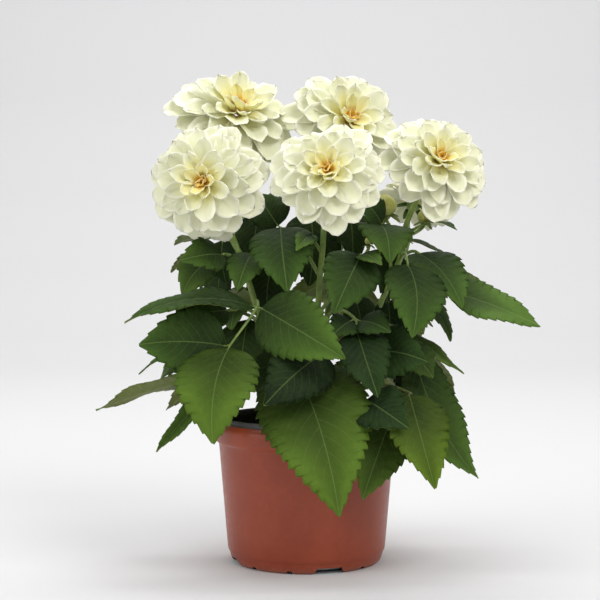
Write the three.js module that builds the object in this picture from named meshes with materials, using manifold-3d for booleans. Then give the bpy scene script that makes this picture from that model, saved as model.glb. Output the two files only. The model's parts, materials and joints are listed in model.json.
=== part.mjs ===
// A compact dahlia in flower in a 13 cm nursery pot: the pot, its soil, six leafy stems that stand in
// the soil, a double bloom on each stem, and three buds. Millimetres, +Z up. The origin is the middle
// of the pot's underside, and -Y is the front.
import * as THREE from 'three';
import { mergeVertices } from 'three/addons/utils/BufferGeometryUtils.js';
import Module from 'manifold-3d';

// Pot
const RIM_BAND_RADIUS = 65;
const LIP_RADIUS = 61.4;
const POT_HEIGHT = 103;
const BAND_TOP = 97;
const BAND_BOTTOM = 86.2;
const WALL_TOP_RADIUS = 62.3;
const WALL_FOOT_RADIUS = 56;
const BASE_RADIUS = 50;
const FOOT_HEIGHT = 7;
const POT_WALL = 1.4;
const POT_SIDES = 24;
const FOOT_SLOTS = 12;
const WIDE_SLOT_EVERY = 3;
const SLOT_HEIGHT = 2.2;
const WIDE_SLOT_HEIGHT = 4.4;
const SLOT_WIDTH = 4;
const WIDE_SLOT_WIDTH = 20;
const SLOT_INNER_RADIUS = 44;
const FIRST_SLOT_DEGREES = 17;

// Soil
const SOIL_TOP = 91;
const SOIL_RELIEF = 1.6;
const SOIL_SEED = 7;
const SOIL_RINGS = 4;
const SOIL_SIDES = 12;
const SOIL_CROWN = 0.5;
const HOLE_DEPTH = 24;
const HOLE_CLEARANCE = 0.6;
const HOLE_SIDES = 6;
const GAP = 0.3;

// Stems and leaf stalks
const STEM_RADIUS = 2.3;
const STEM_STEPS = 10;
const STEM_SIDES = 5;
const STALK_SIDES = 3;
const STALK_RADIUS = 1.2;
const STALKLET_RADIUS = 0.9;
const BUD_STEM_RADIUS = 1.5;
// Heights where a stem stands straight up in its hole, and places behind a bloom where it runs
// straight into the calyx.
const FOOT = [SOIL_TOP - HOLE_DEPTH, SOIL_TOP - 6, SOIL_TOP + 4];
const NECK = [-16, -3];

// Leaflets
const LEAF_THICKNESS = 0.8;
const NOTCH = 0.87;
const TOOTH = 1.06;
const TOOTH_REACH = 0.8;
const FOLD = 0.1;
const SIDE_SHARE = 0.35;
const FRONT_SHIFT = 20;

// Blooms. Petal sizes are shares of the bloom's radius, and petal angles are degrees above the
// plane of the bloom, at the petal's root and at its tip.
const PETAL_THICKNESS = 0.8;
const OUTER_PETAL = { length: 0.88, width: 0.62, start: 0.17, height: 0.03, root: -6, tip: -26 };
const HEART_PETAL = { length: 0.26, width: 0.2, start: 0.05, height: 0.14, root: 72, tip: 84 };
const PETALS = 19;
const OUTER_CROWDING = 1.25;
const HEART_STARTS = 0.3;
const GOLDEN_ANGLE = Math.PI * (3 - Math.sqrt(5));
const PETAL_CUP = 0.22;
const CORE_BOTTOM = 1.5;
const CORE_SIDES = 7;
const CALYX_RADIUS = 5.5;
const CALYX_HEIGHT = 5;
const BRACTS = 5;

const COLOURS = {
  pot: 0x9b4f38,
  soil: 0x2b211a,
  leaf: 0x3f6432,
  petal: 0xf1f0d8,
  bud: 0xd8d690,
};

const wasm = await Module();
wasm.setup();

const vector = (x, y, z) => new THREE.Vector3(x, y, z);
const at = ([x, y, z]) => new THREE.Vector3(x, y, z);
const UP = vector(0, 0, 1);

// The same seed gives the same numbers on every run.
function seededRandom(seed) {
  let state = seed;
  return () => {
    state = (state * 1664525 + 1013904223) % 4294967296;
    return state / 4294967296;
  };
}

function solidOf(positions, triangles) {
  return new wasm.Manifold(new wasm.Mesh({
    numProp: 3,
    vertProperties: new Float32Array(positions),
    triVerts: new Uint32Array(triangles),
  }));
}

function solidFromGeometry(geometry) {
  geometry.deleteAttribute('normal');
  geometry.deleteAttribute('uv');
  const merged = mergeVertices(geometry, 1e-4);
  return solidOf(merged.attributes.position.array, merged.index.array);
}

function join(solids) {
  return solids.reduce((whole, next) => whole.add(next));
}

function meshOf(solid, name, colour, roughness) {
  const data = solid.getMesh();
  const geometry = new THREE.BufferGeometry();
  geometry.setAttribute('position', new THREE.BufferAttribute(data.vertProperties, 3));
  geometry.setIndex(new THREE.BufferAttribute(data.triVerts, 1));
  const material = new THREE.MeshStandardMaterial({ color: colour, roughness, metalness: 0 });
  const mesh = new THREE.Mesh(geometry, material);
  mesh.name = name;
  return mesh;
}

// A thin sheet given by points and triangles becomes a closed solid: both faces have the same
// triangles, and a rim joins them along every edge that only one triangle uses.
function thicken(points, faces, normal, thickness) {
  const offset = normal.clone().multiplyScalar(thickness / 2);
  const positions = [];
  for (const sign of [1, -1]) {
    for (const point of points) {
      positions.push(...point.clone().addScaledVector(offset, sign).toArray());
    }
  }
  const count = points.length;
  const triangles = [];
  const edges = new Set();
  for (const [a, b, c] of faces) {
    triangles.push(a, b, c, count + a, count + c, count + b);
    for (const edge of [[a, b], [b, c], [c, a]]) {
      edges.add(edge.join());
    }
  }
  for (const edge of edges) {
    const [a, b] = edge.split(',').map(Number);
    if (!edges.has([b, a].join())) {
      triangles.push(b, a, count + a, b, count + a, count + b);
    }
  }
  return solidOf(positions, triangles);
}

// A round stalk of a few sides along a smooth curve through the points.
function tube(points, radius, sides = STALK_SIDES, steps = points.length) {
  const outline = new THREE.Shape();
  for (let side = 0; side < sides; side += 1) {
    const angle = (side / sides) * 2 * Math.PI;
    const corner = [radius * Math.cos(angle), radius * Math.sin(angle)];
    if (side === 0) {
      outline.moveTo(...corner);
    } else {
      outline.lineTo(...corner);
    }
  }
  const geometry = new THREE.ExtrudeGeometry(outline, {
    extrudePath: new THREE.CatmullRomCurve3(points),
    steps,
    curveSegments: 1,
  });
  return solidFromGeometry(geometry);
}

function lathe(profile, sides) {
  const points = profile.map(([radius, height]) => new THREE.Vector2(radius, height));
  const geometry = new THREE.LatheGeometry(points, sides);
  geometry.rotateX(Math.PI / 2);
  return solidFromGeometry(geometry);
}

// The pot is one thin shell: a rounded foot, a tapering wall, a shoulder under the rim band and a
// narrower lip. Drain notches run through the corner of the foot, every third one wide and tall.
function makePot() {
  const lip = LIP_RADIUS - POT_WALL;
  const profile = [
    [0, 0],
    [BASE_RADIUS, 0],
    [BASE_RADIUS + 2.8, 1.6],
    [WALL_FOOT_RADIUS - 1.3, FOOT_HEIGHT],
    [WALL_FOOT_RADIUS, FOOT_HEIGHT + 1.6],
    [WALL_TOP_RADIUS, BAND_BOTTOM - 2.4],
    [RIM_BAND_RADIUS, BAND_BOTTOM],
    [RIM_BAND_RADIUS, BAND_TOP],
    [LIP_RADIUS, BAND_TOP + 2.6],
    [LIP_RADIUS, POT_HEIGHT],
    [lip, POT_HEIGHT],
    [lip, BAND_TOP + 1.4],
    [RIM_BAND_RADIUS - POT_WALL, BAND_TOP - 2],
    [WALL_TOP_RADIUS - POT_WALL, BAND_BOTTOM - 1.8],
    [BASE_RADIUS + 1.6, POT_WALL],
    [0, POT_WALL],
  ];
  const slots = [];
  for (let index = 0; index < FOOT_SLOTS; index += 1) {
    const wide = index % WIDE_SLOT_EVERY === 0;
    const width = wide ? WIDE_SLOT_WIDTH : SLOT_WIDTH;
    const height = wide ? WIDE_SLOT_HEIGHT : SLOT_HEIGHT;
    const length = WALL_FOOT_RADIUS + 4 - SLOT_INNER_RADIUS;
    const slot = new THREE.BoxGeometry(width, length, 2 * height);
    slot.translate(0, -(SLOT_INNER_RADIUS + length / 2), 0);
    const turn = (index / FOOT_SLOTS) * 360 + FIRST_SLOT_DEGREES;
    slot.rotateZ(THREE.MathUtils.degToRad(turn));
    slots.push(solidFromGeometry(slot));
  }
  return slots.reduce((shell, slot) => shell.subtract(slot), lathe(profile, POT_SIDES));
}

// The soil fills the pot to just under the lip. Its top is uneven, and each stem stands in a
// plain hole.
function makeSoil(stems) {
  const random = seededRandom(SOIL_SEED);
  const shoulder = BAND_BOTTOM - 1.8;
  const wall = WALL_TOP_RADIUS - POT_WALL - GAP;
  const floor = BASE_RADIUS + 1.6 - GAP;
  const profile = [[floor, POT_WALL + GAP], [wall, shoulder], [wall, SOIL_TOP]];
  const rows = profile.map(([radius, height]) => ({ radius, height, relief: 0 }));
  for (let ring = SOIL_RINGS; ring > 0; ring -= 1) {
    const radius = (wall - 1) * (ring / SOIL_RINGS);
    rows.push({ radius, height: SOIL_TOP + SOIL_CROWN, relief: SOIL_RELIEF });
  }
  const positions = [];
  for (const row of rows) {
    for (let side = 0; side < SOIL_SIDES; side += 1) {
      const angle = (side / SOIL_SIDES) * 2 * Math.PI;
      const height = row.height + row.relief * (random() - 0.5) * 2;
      positions.push(row.radius * Math.cos(angle), row.radius * Math.sin(angle), height);
    }
  }
  const bottom = positions.length / 3;
  positions.push(0, 0, POT_WALL + GAP);
  const top = bottom + 1;
  positions.push(0, 0, SOIL_TOP + SOIL_CROWN);
  const triangles = [];
  const lastRow = (rows.length - 1) * SOIL_SIDES;
  for (let side = 0; side < SOIL_SIDES; side += 1) {
    const next = (side + 1) % SOIL_SIDES;
    for (let row = 0; row < rows.length - 1; row += 1) {
      const low = row * SOIL_SIDES;
      const high = low + SOIL_SIDES;
      triangles.push(low + side, low + next, high + next, low + side, high + next, high + side);
    }
    triangles.push(bottom, next, side, top, lastRow + side, lastRow + next);
  }
  const body = solidOf(positions, triangles);
  const holes = stems.map(([x, y]) => {
    const radius = STEM_RADIUS + HOLE_CLEARANCE;
    const hole = new THREE.CylinderGeometry(radius, radius, 2 * HOLE_DEPTH, HOLE_SIDES);
    hole.rotateX(Math.PI / 2);
    hole.translate(x, y, SOIL_TOP - GAP);
    return solidFromGeometry(hole);
  });
  return holes.reduce((soil, hole) => soil.subtract(hole), body);
}

// One leaflet: an ovate blade from base to tip with teeth that point forward. lean turns its upper
// face from the sky (0) towards the outside of the plant (1), and arch is its rise over its length.
function blade(base, tip, width, lean, arch = 0.12, spans = 4) {
  return { base: at(base), tip: at(tip), width, lean, arch, spans };
}

function leafWidth(u) {
  const peak = 0.34;
  const shape = (x) => x ** 0.55 * (1 - x) ** 1.07;
  return shape(u) / shape(peak);
}

function bladeSolid({ base, tip, width, lean, arch, spans }) {
  const chord = tip.clone().sub(base);
  const length = chord.length();
  const along = chord.clone().normalize();
  const middle = base.clone().lerp(tip, 0.5);
  const outward = vector(middle.x * SIDE_SHARE, middle.y - FRONT_SHIFT, 0).normalize();
  const sky = UP.clone().lerp(outward, lean);
  const side = along.clone().cross(sky).normalize();
  const normal = side.clone().cross(along);
  const point = (u, v, scale) => {
    const half = (width / 2) * leafWidth(u) * scale;
    const rise = arch * length * 4 * u * (1 - u) + (v === 0 ? 0 : FOLD * half);
    return base.clone().addScaledVector(chord, u).addScaledVector(side, v * half)
      .addScaledVector(normal, rise);
  };
  const points = [];
  const faces = [];
  const add = (...place) => points.push(point(...place)) - 1;
  const ribs = [];
  for (let span = 0; span < spans; span += 1) {
    ribs.push(add(span / spans, 0, 0));
  }
  points.push(tip.clone());
  ribs.push(points.length - 1);
  for (const hand of [1, -1]) {
    const face = (a, b, c) => faces.push(hand > 0 ? [a, b, c] : [a, c, b]);
    let notch = null;
    for (let span = 0; span < spans - 1; span += 1) {
      const tooth = add((span + TOOTH_REACH) / spans, hand, TOOTH);
      const nextNotch = add((span + 1) / spans, hand, NOTCH);
      if (span > 0) {
        face(ribs[span], notch, tooth);
      }
      face(ribs[span], tooth, ribs[span + 1]);
      face(ribs[span + 1], tooth, nextNotch);
      notch = nextNotch;
    }
    face(ribs[spans - 1], notch, ribs[spans]);
  }
  return thicken(points, faces, normal, LEAF_THICKNESS);
}

// A compound leaf: a stalk through the points, and its leaflets, each joined to the nearest point.
function leaf(path, ...blades) {
  return { path: path.map(at), blades };
}

function leafSolids({ path, blades }) {
  const solids = [tube(path, STALK_RADIUS)];
  for (const item of blades) {
    const gaps = path.map((point) => point.distanceTo(item.base));
    const fork = path[gaps.indexOf(Math.min(...gaps))];
    const into = item.tip.clone().sub(item.base).setLength(2);
    if (Math.min(...gaps) > 1) {
      solids.push(tube([fork, item.base.clone().add(into)], STALKLET_RADIUS, STALK_SIDES, 1));
    }
    solids.push(bladeSolid(item));
  }
  return solids;
}

// The petals of a bloom stand on a small dome in a golden-angle spiral, from long flat ones at the
// back to short upright ones round the heart. The bloom faces along its own +Z.
function petalSolid(radius, place, turn) {
  const share = (key, weight = place) =>
    THREE.MathUtils.lerp(OUTER_PETAL[key], HEART_PETAL[key], weight);
  const length = radius * share('length');
  const width = radius * share('width');
  const rootAngle = THREE.MathUtils.degToRad(share('root', place * place));
  const tipAngle = THREE.MathUtils.degToRad(share('tip', place * place));
  const out = vector(Math.cos(turn), Math.sin(turn), 0);
  const side = vector(-Math.sin(turn), Math.cos(turn), 0);
  const heading = (angle) => out.clone().multiplyScalar(Math.cos(angle)).setZ(Math.sin(angle));
  const start = out.clone().multiplyScalar(radius * share('start')).setZ(radius * share('height'));
  const bend = start.clone().addScaledVector(heading(rootAngle), length / 2);
  const end = bend.clone().addScaledVector(heading(tipAngle), length / 2);
  const rib = new THREE.QuadraticBezierCurve3(start, bend, end);
  const normal = heading((rootAngle + tipAngle) / 2 + Math.PI / 2);
  const edge = (u, v) => rib.getPoint(u).addScaledVector(side, v * width / 2)
    .addScaledVector(normal, Math.abs(v) * width * PETAL_CUP);
  if (place > HEART_STARTS) {
    const points = [start, edge(0.6, -0.9), end, edge(0.6, 0.9)];
    return thicken(points, [[0, 1, 2], [0, 2, 3]], normal, PETAL_THICKNESS);
  }
  const points = [
    start,
    edge(0.5, -0.9),
    edge(0.5, 0),
    edge(0.5, 0.9),
    edge(0.9, -0.78),
    end,
    edge(0.9, 0.78),
  ];
  const faces = [[0, 1, 2], [0, 2, 3], [1, 4, 5], [1, 5, 2], [2, 5, 6], [2, 6, 3]];
  return thicken(points, faces, normal, PETAL_THICKNESS);
}

function bloomSolid(radius, petals) {
  const core = lathe([
    [0, -CORE_BOTTOM],
    [radius * 0.18, -CORE_BOTTOM],
    [radius * 0.22, radius * 0.07],
    [radius * 0.13, radius * 0.2],
    [0, radius * 0.24],
  ], CORE_SIDES);
  const solids = [core];
  for (let index = 0; index < petals; index += 1) {
    const place = (index / (petals - 1)) ** OUTER_CROWDING;
    solids.push(petalSolid(radius, place, index * GOLDEN_ANGLE));
  }
  return join(solids);
}

// A closed bud: an egg of furled petals, with a ridge for each.
function budSolid(radius) {
  const rings = [[0.55, 0], [0.95, 0.45], [0.9, 1.05], [0.45, 1.55]];
  const ridges = 6;
  const sides = ridges * 2;
  const positions = [];
  for (const [across, height] of rings) {
    for (let side = 0; side < sides; side += 1) {
      const angle = (side / sides) * 2 * Math.PI + height * 0.5;
      const reach = radius * across * (side % 2 === 0 ? 1 : 0.86);
      positions.push(reach * Math.cos(angle), reach * Math.sin(angle), radius * height);
    }
  }
  positions.push(0, 0, 0, 0, 0, radius * 1.75);
  const bottom = rings.length * sides;
  const last = bottom - sides;
  const triangles = [];
  for (let side = 0; side < sides; side += 1) {
    const next = (side + 1) % sides;
    for (let low = 0; low < last; low += sides) {
      const high = low + sides;
      triangles.push(low + side, low + next, high + next, low + side, high + next, high + side);
    }
    triangles.push(bottom, next, side, bottom + 1, last + side, last + next);
  }
  return solidOf(positions, triangles);
}

// Turns a solid modelled round +Z to face along a direction, and sets it at a place.
function pose(solid, place, facing) {
  const turn = new THREE.Quaternion().setFromUnitVectors(UP, at(facing).normalize());
  const matrix = new THREE.Matrix4().compose(at(place), turn, vector(1, 1, 1));
  return solid.transform(matrix.elements);
}

// The green cup under a bloom or bud, a star of bracts bent back round it.
function calyx(scale) {
  const sides = 2 * BRACTS;
  const rows = [
    { cup: [CALYX_RADIUS, 0], tip: [CALYX_RADIUS + 8, -6] },
    { cup: [CALYX_RADIUS - 1.6, -2.2], tip: [CALYX_RADIUS + 7.4, -7] },
    { cup: [STEM_RADIUS, -CALYX_HEIGHT], tip: [STEM_RADIUS, -CALYX_HEIGHT] },
  ];
  const positions = [];
  for (const row of rows) {
    for (let side = 0; side < sides; side += 1) {
      const angle = (side / sides) * 2 * Math.PI;
      const [radius, height] = side % 2 === 0 ? row.cup : row.tip;
      positions.push(radius * Math.cos(angle), radius * Math.sin(angle), height);
    }
  }
  const top = positions.length / 3;
  positions.push(0, 0, 0, 0, 0, -CALYX_HEIGHT);
  const lastRow = (rows.length - 1) * sides;
  const triangles = [];
  for (let side = 0; side < sides; side += 1) {
    const next = (side + 1) % sides;
    for (let high = 0; high < lastRow; high += sides) {
      const low = high + sides;
      triangles.push(high + next, high + side, low + side, high + next, low + side, low + next);
    }
    triangles.push(top, side, next, top + 1, lastRow + next, lastRow + side);
  }
  return solidOf(positions, triangles).scale(scale);
}

// A compound leaf placed by rule. Its stalk runs out from the stem at an azimuth, counted in degrees
// from the back towards the right, and its three leaflets fall away from the end.
function spreadLeaf(start, azimuth, fall, size = 58, reach = 34) {
  const heading = THREE.MathUtils.degToRad(azimuth);
  const slope = THREE.MathUtils.degToRad(fall);
  const out = (from, distance, turn, drop) => [
    from[0] + distance * Math.sin(heading + turn),
    from[1] + distance * Math.cos(heading + turn),
    from[2] - drop,
  ];
  const hang = (from, length, turn, angle) =>
    out(from, length * Math.cos(angle), turn, length * Math.sin(angle));
  const fork = out(start, reach * 0.6, 0, -9);
  const end = out(start, reach, 0, -7);
  const lateral = (hand) => blade(fork, hang(fork, size * 0.7, hand * 1.25, slope * 0.8), size * 0.5,
    0.4, 0.1, 3);
  return leaf([start, fork, end], blade(end, hang(end, size, 0, slope), size * 0.72, 0.4, 0.12, 3),
    lateral(1), lateral(-1));
}

// Each stem is listed with its place in the soil, its points, its bloom, its leaves and its buds.
// Leaf stalks start on the stem. The leaves at the front lie as they hang round this plant.
const STEMS = {
  front_left: {
    root: [-17, -10],
    stem: [[-20, -12, 118], [-27, -17, 150], [-36, -22, 185], [-46, -25, 216], [-53, -22, 234]],
    bloom: { place: [-69, -37, 267], facing: [-0.2, -0.97, 0.02], radius: 42 },
    leaves: [
      leaf([[-33, -20, 172], [-34, -38, 186], [-34, -52, 182], [-51, -69, 158]],
        blade([-52, -71, 156], [-61, -98, 96], 55, 0.6, 0.12, 5),
        blade([-54, -64, 157], [-112, -66, 158], 48, 0.8, 0.06, 5),
        blade([-36, -52, 183], [-122, -62, 172], 28, 0.32, 0.15, 5),
        blade([-31, -53, 182], [25, -84, 150], 46, 0.85, 0.08, 5)),
      leaf([[-34, -21, 176], [-46, -34, 182], [-54, -43, 180]],
        blade([-54, -43, 180], [-89, -60, 175], 28, 0.7, 0.1, 3)),
      leaf([[-45, -24, 212], [-56, -24, 218], [-67, -26, 214]],
        blade([-67, -26, 214], [-86, -28, 190], 30, 0.8),
        blade([-58, -29, 218], [-86, -46, 214], 30, 0.7, 0.12, 3)),
      leaf([[-42, -24, 205], [-38, -30, 219]],
        blade([-38, -30, 219], [-47, -50, 194], 28, 0.6, 0.12, 3)),
      leaf([[-49, -24, 222], [-55, -16, 230], [-59, -12, 228]],
        blade([-59, -12, 228], [-56, -20, 198], 28, 0.75, 0.06, 3)),
      leaf([[-31, -19, 162], [-37, -13, 173], [-41, -8, 172]],
        blade([-41, -8, 172], [-45, -18, 127], 40, 0.75, 0.1, 3)),
      leaf([[-22, -13, 128], [-46, -22, 141], [-62, -27, 139], [-76, -30, 133]],
        blade([-76, -30, 132], [-146, -30, 110], 50, -0.45, 0.03, 5),
        blade([-64, -18, 132], [-99, -12, 108], 34, -0.3, 0.06, 3),
        blade([-56, -33, 134], [-101, -60, 85], 24, 0.2, 0, 4)),
    ],
  },
  front: {
    root: [2, -14],
    stem: [[3, -17, 118], [6, -23, 150], [9, -30, 200], [11, -33, 222], [12, -32, 240]],
    bloom: { place: [14, -50, 272], facing: [-0.06, -0.93, 0.36], radius: 40 },
    leaves: [
      leaf([[9, -30, 203], [-5, -28, 226], [-17, -29, 236]],
        blade([-18, -29, 237], [-13, -58, 193], 44, 0.6, 0.12, 5),
        blade([-20, -26, 238], [-34, -12, 260], 30, 0.5, 0.1, 3)),
      leaf([[5, -20, 132], [-1, -36, 145], [-9, -44, 143]],
        blade([-9, -44, 143], [21, -98, 49], 74, 0.75, 0.09, 6)),
      leaf([[6, -23, 150], [11, -42, 159], [12, -54, 152]],
        blade([12, -54, 152], [-28, -92, 120], 44, 0.8, 0.06, 5)),
      leaf([[7, -26, 168], [22, -38, 180], [33, -45, 174], [34, -52, 166]],
        blade([34, -52, 166], [47, -76, 124], 36, 0.75, 0.12, 4),
        blade([36, -47, 173], [56, -62, 166], 24, 0.6, 0.12, 3),
        blade([30, -47, 173], [17, -64, 164], 22, 0.6, 0.12, 3)),
      leaf([[11, -33, 218], [2, -32, 232]],
        blade([3, -36, 232], [-7, -54, 221], 15, 0.6, 0.12, 3)),
      leaf([[4, -18, 124], [-4, -25, 150], [-12, -28, 154]],
        blade([-12, -28, 154], [-28, -31, 104], 42, 0.8, 0.04, 3)),
    ],
    buds: [
      {
        stem: [[7, -27, 175], [24, -34, 198], [36, -38, 213], [42, -36, 221]],
        place: [43, -35, 225],
        facing: [0.1, 0, 1],
        radius: 3.5,
        leaves: [
          leaf([[34, -37, 210], [37, -42, 218]],
            blade([37, -42, 218], [18, -68, 179], 40, 0.7, 0.12, 5),
            blade([37, -42, 218], [50, -62, 211], 16, 0.6, 0.12, 3)),
        ],
      },
    ],
  },
  right: {
    root: [20, -6],
    stem: [[24, -7, 118], [37, -9, 148], [54, -12, 188], [67, -12, 219], [70, -8, 238]],
    bloom: { place: [90, -25, 280], facing: [0.25, -0.85, 0.46], radius: 40 },
    leaves: [
      leaf([[64, -12, 212], [68, -27, 219], [69, -42, 211]],
        blade([69, -42, 211], [70, -68, 163], 44, 0.7, 0.12, 4)),
      leaf([[66, -12, 216], [76, -16, 220], [98, -28, 193]],
        blade([98, -28, 193], [160, -40, 169], 38, 0.6, 0, 5),
        blade([77, -17, 219], [106, -46, 182], 44, 0.6, 0.12, 4)),
      leaf([[69, -9, 232], [82, -12, 239]],
        blade([82, -12, 239], [104, -26, 235], 18, 0, 0.12, 3)),
      leaf([[68, -11, 224], [58, -19, 236], [52, -22, 239]],
        blade([52, -25, 239], [36, -33, 257], 26, 0.6, 0.12, 3),
        blade([50, -23, 239], [56, -53, 212], 40, 0.7, 0.2, 3)),
      leaf([[60, -12, 202], [58, -6, 220], [57, -3, 222]],
        blade([57, -3, 222], [56, -12, 184], 32, 0.7, 0.06, 3)),
      leaf([[30, -8, 132], [52, -12, 150], [68, -15, 151]],
        blade([68, -15, 151], [79, -20, 102], 36, 0.8, 0.04, 3)),
      leaf([[44, -10, 164], [58, -13, 168], [71, -16, 163]],
        blade([71, -16, 163], [110, -18, 134], 21, 0.3, 0.02, 3)),
      leaf([[38, -9, 150], [54, -24, 158], [68, -30, 155], [80, -32, 148]],
        blade([75, -31, 147], [117, -46, 65], 43, 0.85, -0.06, 5),
        blade([68, -33, 153], [86, -44, 134], 27, 0.8)),
      leaf([[46, -10, 170], [53, -5, 184], [58, -4, 186]],
        blade([58, -4, 186], [60, -13, 148], 30, 0.75, 0.06, 3)),
      leaf([[28, -8, 128], [38, -30, 150], [46, -45, 152]],
        blade([46, -45, 152], [81, -58, 146], 38, 0.85, 0.1, 3)),
      leaf([[24, -7, 112], [46, -34, 128], [60, -48, 128], [71, -55, 124]],
        blade([69, -57, 124], [84, -88, 65], 43, 0.8, 0.12, 5),
        blade([60, -47, 113], [37, -72, 55], 40, 0.8, 0.14, 4)),
      leaf([[23, -7, 108], [34, -40, 122], [39, -62, 123]],
        blade([40, -62, 121], [66, -88, 105], 36, 0.8, 0.1, 4)),
    ],
    buds: [
      {
        stem: [[68, -11, 224], [60, -6, 236], [56, -8, 243]],
        place: [56, -10, 247],
        facing: [-0.1, -0.3, 1],
        radius: 8,
        leaves: [],
      },
      {
        stem: [[70, -9, 230], [80, -2, 235], [83, -4, 238]],
        place: [83, -6, 241],
        facing: [0.1, -0.4, 1],
        radius: 5.5,
        leaves: [],
      },
    ],
  },
  back_left: {
    root: [-16, 12],
    stem: [[-18, 12, 118], [-26, 12, 150], [-34, 10, 190], [-40, 9, 225], [-53, 26, 272]],
    bloom: { place: [-53, 45, 317], facing: [0.28, -0.66, 0.69], radius: 49 },
    leaves: [
      leaf([[-26, 12, 150], [-54, 4, 158], [-80, -6, 149]],
        blade([-80, -6, 149], [-118, -15, 134], 12, 0.2, 0.1, 3),
        blade([-80, -3, 148], [-105, 8, 128], 24, 0.6, 0.12, 3)),
      leaf([[-39, 9, 220], [-58, 25, 232], [-76, 38, 228]],
        blade([-76, 38, 228], [-98, 50, 224], 24, 0.4, 0.12, 3)),
      leaf([[-37, 9, 206], [-47, 5, 218], [-56, 4, 216]],
        blade([-56, 4, 216], [-61, -6, 180], 34, 0.7, 0.1, 3)),
      leaf([[-37, 9, 206], [-30, 7, 218], [-22, 6, 216]],
        blade([-22, 6, 216], [-27, -2, 174], 36, 0.7, 0.08, 3)),
      leaf([[-41, 10, 230], [-37, 6, 246], [-34, 4, 247]],
        blade([-34, 4, 247], [-37, -5, 210], 34, 0.7, 0.08, 3)),
      spreadLeaf([-19, 12, 124], -62, 40),
      spreadLeaf([-30, 11, 168], -104, 24, 48),
      spreadLeaf([-33, 10, 184], -38, 36),
      spreadLeaf([-38, 9, 211], -58, 20, 42),
    ],
  },
  back: {
    root: [4, 14],
    stem: [[5, 16, 118], [12, 22, 150], [19, 28, 205], [24, 38, 250], [26, 58, 282]],
    bloom: { place: [29, 52, 314], facing: [0.34, -0.84, 0.42], radius: 46 },
    leaves: [
      leaf([[21, 31, 222], [12, 18, 246], [3, 10, 247]],
        blade([3, 10, 247], [2, 2, 195], 42, 0.7, 0.08, 3)),
      leaf([[23, 36, 242], [28, 20, 254], [31, 7, 250]],
        blade([31, 7, 250], [33, -2, 212], 32, 0.7, 0.08, 3)),
      leaf([[16, 25, 178], [26, 16, 192], [33, 9, 190]],
        blade([33, 9, 190], [37, 1, 154], 34, 0.7, 0.08, 3)),
      spreadLeaf([6, 17, 124], -18, 42, 60),
      spreadLeaf([13, 23, 156], -24, 38),
      spreadLeaf([17, 27, 188], 6, 32),
      spreadLeaf([20, 30, 216], -36, 22, 48),
    ],
  },
  back_right: {
    root: [20, 12],
    stem: [[23, 14, 118], [40, 29, 150], [60, 46, 190], [76, 60, 225]],
    bloom: { place: [82, 75, 256], facing: [0.3, 0.5, 0.8], radius: 29, petals: 15 },
    leaves: [
      leaf([[64, 49, 198], [72, 28, 222], [72, 8, 228]],
        blade([72, 8, 228], [119, 6, 199], 26, 0.2, 0.1, 4)),
      leaf([[56, 43, 182], [66, 24, 194], [78, 6, 190]],
        blade([78, 6, 190], [101, -17, 157], 25, 0.6, 0.1, 3)),
      spreadLeaf([29, 18, 126], 36, 42),
      spreadLeaf([36, 25, 142], 78, 40, 54),
      spreadLeaf([52, 39, 172], 28, 34, 54),
      spreadLeaf([63, 48, 196], 84, 28, 46),
    ],
  },
};

function stemSolids({ root, stem, bloom, leaves, buds = [] }) {
  const facing = at(bloom.facing).normalize();
  const seat = at(bloom.place).addScaledVector(facing, -CORE_BOTTOM - GAP);
  const neck = NECK.map((reach) => seat.clone().addScaledVector(facing, reach));
  const foot = FOOT.map((height) => vector(...root, height));
  const solids = [tube([...foot, ...stem.map(at), ...neck], STEM_RADIUS, STEM_SIDES, STEM_STEPS)];
  solids.push(pose(calyx(1), seat.toArray(), bloom.facing));
  leaves.forEach((item) => solids.push(...leafSolids(item)));
  for (const bud of buds) {
    const under = at(bud.place).addScaledVector(at(bud.facing).normalize(), -GAP);
    solids.push(tube([...bud.stem.map(at), under.clone().add(vector(0, 0, -0.5))], BUD_STEM_RADIUS));
    solids.push(pose(calyx(bud.radius / 10), under.toArray(), bud.facing));
    bud.leaves.forEach((item) => solids.push(...leafSolids(item)));
  }
  return solids;
}

const plant = new THREE.Group();
plant.add(meshOf(makePot(), 'pot', COLOURS.pot, 0.5));
const holes = Object.values(STEMS).map(({ root }) => root);
plant.add(meshOf(makeSoil(holes), 'soil', COLOURS.soil, 0.95));
for (const [name, item] of Object.entries(STEMS)) {
  plant.add(meshOf(join(stemSolids(item)), `leafy_stem_${name}`, COLOURS.leaf, 0.55));
  const { place, facing, radius, petals = PETALS } = item.bloom;
  const bloom = pose(bloomSolid(radius, petals), place, facing);
  plant.add(meshOf(bloom, `bloom_${name}`, COLOURS.petal, 0.5));
  (item.buds ?? []).forEach((bud, index) => {
    const solid = pose(budSolid(bud.radius), bud.place, bud.facing);
    plant.add(meshOf(solid, `bud_${name}_${index + 1}`, COLOURS.bud, 0.5));
  });
}

export default plant;
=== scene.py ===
import json
import math
import random

import bmesh
import bpy
from mathutils import Matrix, Vector

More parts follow.
